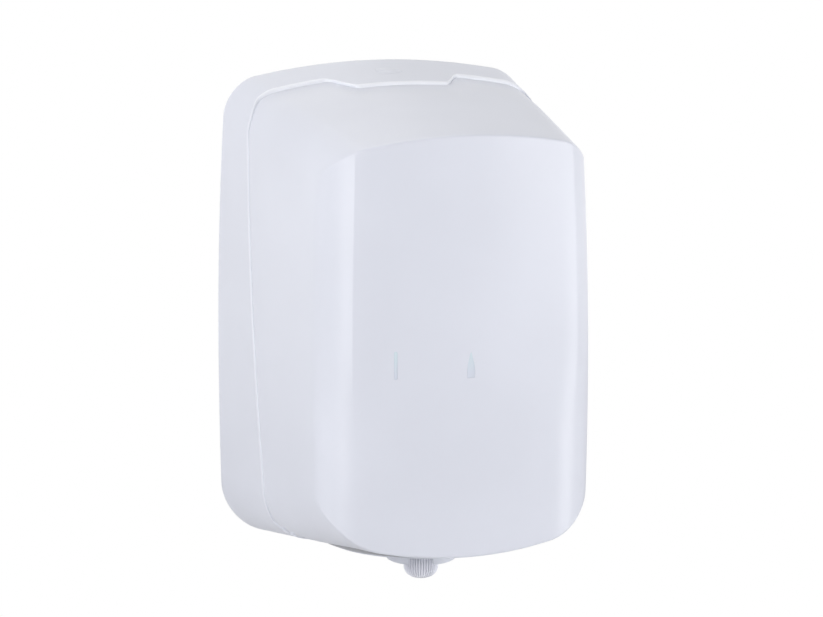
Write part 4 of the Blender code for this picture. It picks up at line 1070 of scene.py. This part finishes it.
profile = [(0.02, spigot_top - 0.0006), (0.02, collar_top), (COLLAR_RADIUS - 0.0006, collar_top),
           (COLLAR_RADIUS, collar_top - 0.0006)]
profile += [(COLLAR_RADIUS - a, COLLAR_LOW + b) for a, b in quarter(0.0012)]
profile += [(0.0136, COLLAR_LOW), (0.013, COLLAR_LOW + 0.0006), (0.013, COLLAR_LOW + 0.003),
            (0.0168, COLLAR_LOW + 0.003), (0.0168, spigot_top), (0.0194, spigot_top)]
collar = object_from("outlet_collar", turned(profile))
notch = soft_block(0.0085, (-0.04, 0.04), (COLLAR_LOW - 0.002, COLLAR_LOW + 0.0052))
rounded(notch, 0.0015, 4, [edge for edge in notch.edges
                           if abs(edge.verts[0].co.y - edge.verts[1].co.y) > 0.01])
bmesh.ops.rotate(notch, cent=(0, 0, 0), matrix=Matrix.Rotation(radians(AZIMUTH), 3, "Z"),
                 verts=notch.verts)
carve(collar, notch)
moved(collar, OVER_OUTLET)
settled(collar, *ON_TRAY, "nozzle_collar")

NUT_LOW, NUT_RADIUS = TRAY_TOP + 0.0003, 0.027
NUT_PROFILE = ((NUT_RADIUS, 0.0041), (NUT_RADIUS, 0.0004), (0.0266, 0), (0.0207, 0), (0.0203, 0.0004),
               (0.0203, 0.0041), (0.0207, 0.0045), (0.0266, 0.0045))
nut = object_from("ring_nut", turned([(radius, NUT_LOW + up) for radius, up in NUT_PROFILE]))
lugs = sweep(0.0, 0.0, NUT_RADIUS, 0.0, pi / 3 * 5, 5)
carve(nut, posts(0.003, [(*lug, NUT_LOW + 0.00015, NUT_LOW + 0.00435) for lug in lugs]), "UNION")
moved(nut, OVER_OUTLET)
settled(nut, *ON_TRAY, "collar_nut")

# %% [markdown]
# ## Nozzle
#
# The nozzle is a small dome of smoky plastic with upright flutes, which turns in the collar as
# the towel is pulled out sideways. Its profile is spun first. Each point of the dome is then
# moved in or out by a cosine of its angle, which cuts all the flutes at once.

# %% Smoky plastic
FLUTES, FLUTE_DEPTH = 40, 0.0007
finish = Finish("smoky_plastic_painted_shade")
angle = finish.along("X").maths("ARCTAN2", finish.along("Y") + ROLL_DEPTH, finish.along("X"))
# painted shade: the plastic is darker in the valleys of the flutes, where shade falls
groove_shade = angle.maths("COSINE", angle * float(FLUTES), 0.0) * 0.5 + 0.5
# more painted shade towards the top, under the collar, plus a little random variation of the smoky plastic
smoke_and_painted_shade = 0.5 * groove_shade + finish.spread(finish.along("Z"), -0.178, -0.164, 0.0, 0.2)
smoke_and_painted_shade = smoke_and_painted_shade + 0.2 * (finish.noise(120.0, 3.0) - 0.5)
SMOKY_PAINTED_SHADE = finish.dress(smoke_and_painted_shade, (0.9, 0.91, 0.98), (0.36, 0.37, 0.46), (0.2, 0.08, 400.0, 2.0), Coat_Weight=0.3)
print("flutes:", FLUTES)

# %% Fluted nozzle
THROAT, EXIT_RADIUS, DOME_TOP, DOME_HEIGHT = 0.0122, 0.004, -0.1701, 0.0098
flange_low = COLLAR_LOW + 0.0033
profile = [(radius, flange_low + up) for radius, up in (
    (0.01, 0.002), (0.0157, 0.002), (0.016, 0.0017), (0.016, 0.0003), (0.0157, 0), (THROAT, 0))]
profile.append((THROAT, COLLAR_LOW))
for step in range(33):
    turn = pi / 2 * step / 32
    radius, drop = THROAT * cos(turn) ** 0.83, DOME_HEIGHT * sin(turn) ** 0.83
    if radius > EXIT_RADIUS:
        profile.append((radius, DOME_TOP - drop))
profile += [(EXIT_RADIUS, profile[-1][1] - 0.00005), (EXIT_RADIUS - 0.0006, profile[-1][1] + 0.0006)]
shape = turned(profile, FLUTES * 8)
for vertex in shape.verts:
    radius = hypot(vertex.co.x, vertex.co.y)
    if vertex.co.z < flange_low - 0.0001 and EXIT_RADIUS < radius < THROAT + 0.0001:
        fade = smooth_step(radius, EXIT_RADIUS, EXIT_RADIUS + 0.004)
        wave = 0.5 + 0.5 * cos(FLUTES * atan2(vertex.co.y, vertex.co.x))
        shrink = 1 - FLUTE_DEPTH * fade * wave / radius
        vertex.co.x, vertex.co.y = vertex.co.x * shrink, vertex.co.y * shrink
bmesh.ops.translate(shape, vec=(0, -ROLL_DEPTH, 0), verts=shape.verts)
settled(object_from("fluted_nozzle", shape), "nozzle_swivel", SMOKY_PAINTED_SHADE, "nozzle_plastic", "nozzle", angle=60)

# %% [markdown]
# ## Key plate
#
# A disc that lies almost flush in the tab has two sockets for the prongs of the key. It is spun
# upright first and then tilted to the slope of the top. A Boolean with a short cone presses in the
# sockets, which gives them their soft edge.

# %% Key disc
profile = [(0, -0.00005), (0.0091, -0.00005), (0.0093, -0.0001), (0.00946, -0.0003), (0.00946, -0.0033),
           (0.0115, -0.0033), (0.0115, -0.0043), (0, -0.0043)]
disc = object_from("key_disc", turned(profile, 72, closed=False))
carve(disc, posts(0.0012, [(x, 0, -0.0005, 0.0002) for x in (-0.00535, 0.00535)], 32, 0.0026))
moved(disc, Matrix.Translation((0, -LOCK_DEPTH, roof)) @ Matrix.Rotation(atan(TOP_SLOPE), 4, "X"))
settled(disc, *ON_BASE, "key_plate")

# %% [markdown]
# ## Lock
#
# Under the tab hangs a guide box with two flanges, in which the key presses the latch down. The
# latch reaches out through a slot, and its tooth has a slope so that the cover pushes it aside when
# it is shut. Both are small mouldings of plain blocks, joined and hollowed by Booleans.

# %% Guide box
def lock_block(half, depths, levels, *rounding):
    """A soft block, with depths from the middle of the lock and levels from its top."""
    return soft_block(half, [LOCK_DEPTH + depth for depth in depths],
                      [LOCK_TOP + level for level in levels], *rounding)


guide = object_from("lock_guide", lock_block(0.013, (-0.0165, 0.0165), (-0.0315, 0), 0.0008, 3))
carve(guide, lock_block(0.024, (-0.007, 0.007), (-0.003, 0), 0.0006), "UNION")
carve(guide, lock_block(0.01, (-0.0135, 0.0135), (-0.0285, 0.01), 0.0005))
carve(guide, lock_block(0.0078, (0.0115, 0.0185), (-0.0282, 0.01), 0.0004))
carve(guide, posts(0.002, [(x, LOCK_DEPTH, LOCK_TOP - 0.005, LOCK_TOP + 0.002) for x in LOCK_SCREWS]))
settled(guide, *ON_TRAY, "lock_housing")

# %% Latch
latch = object_from("latch_slider", lock_block(0.0096, (-0.0131, 0.0131), (-0.014, -0.001), 0.0005))
carve(latch, lock_block(0.007, (0.0086, 0.0131), (-0.023, -0.013), 0.0004), "UNION")
carve(latch, lock_block(0.0065, (0.0109, 0.036), (-0.0226, -0.02), 0.0004), "UNION")
tooth = lock_block(0.006, (0.033, 0.0354), (-0.021, -0.0174))
for vertex in tooth.verts:
    if vertex.co.y < -LOCK_DEPTH - 0.035 and vertex.co.z > LOCK_TOP - 0.019:
        vertex.co.y += 0.0016
carve(latch, tooth, "UNION")
carve(latch, posts(0.0044, [(0, LOCK_DEPTH, LOCK_TOP - 0.016, LOCK_TOP - 0.008)], 48))
settled(latch, "latch", SATIN, "tray_plastic", "lock_latch")

# %% [markdown]
# ## Finishes of the pieces that stay
#
# Screws and pins are bright zinc-plated steel, the drag washer is rubber, and the star disc is
# smoky plastic like the nozzle. Their shapes are right already, so only their materials change.

# %% Steel, and who wears what
STEEL = Finish("zinc_plated_steel").dress((240.0, 3.0), (0.52, 0.53, 0.55), (0.7, 0.71, 0.72),
                                          (0.26, 0.16, 900.0, 3.0), (1800.0, 2.0, 0.3, 0.00005), Metallic=1.0)
pins_and_screws = ["hinge_pin_left", "hinge_pin_right", "lock_screw_1", "lock_screw_2"]
pins_and_screws += [f"tray_screw_{number}" for number in range(1, 5)]
for material, names in ((STEEL, pins_and_screws), (RUBBER, ["drag_washer"]), (SMOKY_PAINTED_SHADE, ["star_restrictor"])):
    for name in names:
        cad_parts[name].data.materials.clear()
        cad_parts[name].data.materials.append(material)
print("steel pieces:", len(pins_and_screws))

# %% [markdown]
# The latch's return spring is wound from wire, with a closed turn at each end and five open ones
# between. A ring of points is carried along the winding. A real spring shortens as the key presses
# the latch down; this one is given a mesh of its own.

# %% Return spring
SPRING_FOOT, SPRING_TIP, COIL, WIRE, TURNS = 0.1349, 0.1546, 0.0033, 0.0004, 7
CLOSED_PITCH, ROUND, TURN_STEPS = 0.00084, 10, 36
OPEN_PITCH = (SPRING_TIP - SPRING_FOOT - 2 * WIRE - 2 * CLOSED_PITCH) / (TURNS - 2)


def spring_level(turn):
    """Height of the wire's middle after a number of turns."""
    closed, opened = min(turn, 1) + max(turn - TURNS + 1, 0), min(max(turn - 1, 0), TURNS - 2)
    return SPRING_FOOT + WIRE + CLOSED_PITCH * closed + OPEN_PITCH * opened


def wire_point(i, j):
    turn = i / TURN_STEPS
    around, over = 2 * pi * turn, 2 * pi * j / ROUND
    radius = COIL + WIRE * cos(over)
    return Vector((radius * cos(around), -LOCK_DEPTH + radius * sin(around),
                   spring_level(turn) + WIRE * sin(over)))


spring = object_from("return_spring", tube(TURNS * TURN_STEPS, ROUND, wire_point))
settled(spring, "base", STEEL, "steel", "latch_spring")
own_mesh(spring)

# %% [markdown]
# ## Studio
#
# The photograph is a catalogue shot on pure white. The world is white wherever the camera, a
# gloss reflection or a clear material looks straight at it, and softer for the light that it
# sheds. A pale floor lies well below and melts into white further out. There is no wall behind, so
# that the back can be looked at too.

# %% World
world = bpy.data.worlds.new("studio")
bpy.context.scene.world = world
world.use_nodes = True
world.node_tree.nodes.clear()
web = Web(world.node_tree)
rays = web.node("ShaderNodeLightPath", output="Is Camera Ray")
seen = rays.maths("MAXIMUM", rays, rays.other("Is Glossy Ray"))
seen = rays.maths("MAXIMUM", seen, rays.other("Is Transmission Ray"))
ambient, white = [web.node("ShaderNodeBackground", {}, {"Color": (1, 1, 1, 1), "Strength": strength})
                  for strength in (0.3, 1.0)]
mixed = web.node("ShaderNodeMixShader", {}, {0: seen, 1: ambient, 2: white})
web.node("ShaderNodeOutputWorld", {}, {"Surface": mixed})
print("world nodes:", len(world.node_tree.nodes))

# %% Floor
FLOOR_LEVEL = -1.0
shape = bmesh.new()
bmesh.ops.create_grid(shape, x_segments=1, y_segments=1, size=4.0)
bmesh.ops.translate(shape, vec=(0, 0, FLOOR_LEVEL), verts=shape.verts)
floor = object_from("floor", shape)
finish = Finish("pale_floor")
finish.set(Base_Color=finish.blend(finish.noise(3.0), (0.82, 0.82, 0.83), (0.84, 0.84, 0.85)), Roughness=0.9)
away = finish.node("ShaderNodeVectorMath", {"operation": "LENGTH"}, {0: finish.place}, 1)
far = finish.spread(away, 1.2, 2.2)
seen = finish.node("ShaderNodeLightPath")
below = finish.node("ShaderNodeNewGeometry", output="Backfacing")
glow = finish.node("ShaderNodeEmission", {}, {"Color": (1, 1, 1, 1), "Strength": 1.0})
clear = finish.node("ShaderNodeBsdfTransparent")
surface = Reading(finish, finish.shader.outputs[0])
pale = finish.node("ShaderNodeMixShader", {}, {0: seen * far, 1: surface, 2: glow})
whole = finish.node("ShaderNodeMixShader", {}, {0: below, 1: pale, 2: clear})
finish.feed(finish.tree.nodes["Material Output"].inputs["Surface"], whole)
floor.data.materials.append(finish.material)
floor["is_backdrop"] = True
print("floor at", FLOOR_LEVEL)

# %% [markdown]
# Large soft boxes model the form. Four stand to the left and shape the side: one high, one tall,
# one low and a strong one further to the front. Two to the right light the front and put a sheen
# on the far corner. One in front and above opens the top, and two behind light the back and the
# rim. Each has a direction from the dispenser and an angle that it fills, in degrees.

# %% Soft boxes
LAMP_DISTANCE = 2.0


def soft_box(name, azimuth, elevation, wide, high, power):
    light = bpy.data.lights.new(name, "AREA")
    light.shape = "RECTANGLE"
    light.size = 2 * LAMP_DISTANCE * tan(radians(wide / 2))
    light.size_y = 2 * LAMP_DISTANCE * tan(radians(high / 2))
    light.energy = power
    stood(name, light, BODY_MIDDLE, direction(azimuth, elevation), LAMP_DISTANCE)
    print("soft box", name, power, "W")


for box in (("left_high", -90, 24, 20, 16, 4.4),
            ("left_tall", -70, 0, 20, 32, 9.2),
            ("left_low", -105, -24, 20, 16, 1.5),
            ("left_front", -50, 24, 20, 16, 12.5),
            ("right_near", 40, 8, 26, 26, 9.8),
            ("right_wide", 66, -6, 26, 54, 17.5),
            ("front_high", 22, 38, 22, 22, 2.0),
            ("behind_high", 180, 60, 30, 30, 10.0),
            ("behind", 180, 8, 30, 40, 3.0)):
    soft_box(*box)

# %% [markdown]
# ## Size of the dressed model
#
# The dressed model has to stay inside the mechanical one, or it wouldn't fit where that fits.

# %% Write the sizes and finish
visual_low, visual_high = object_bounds()
print("dressed model, mm:", in_mm(visual_high - visual_low))
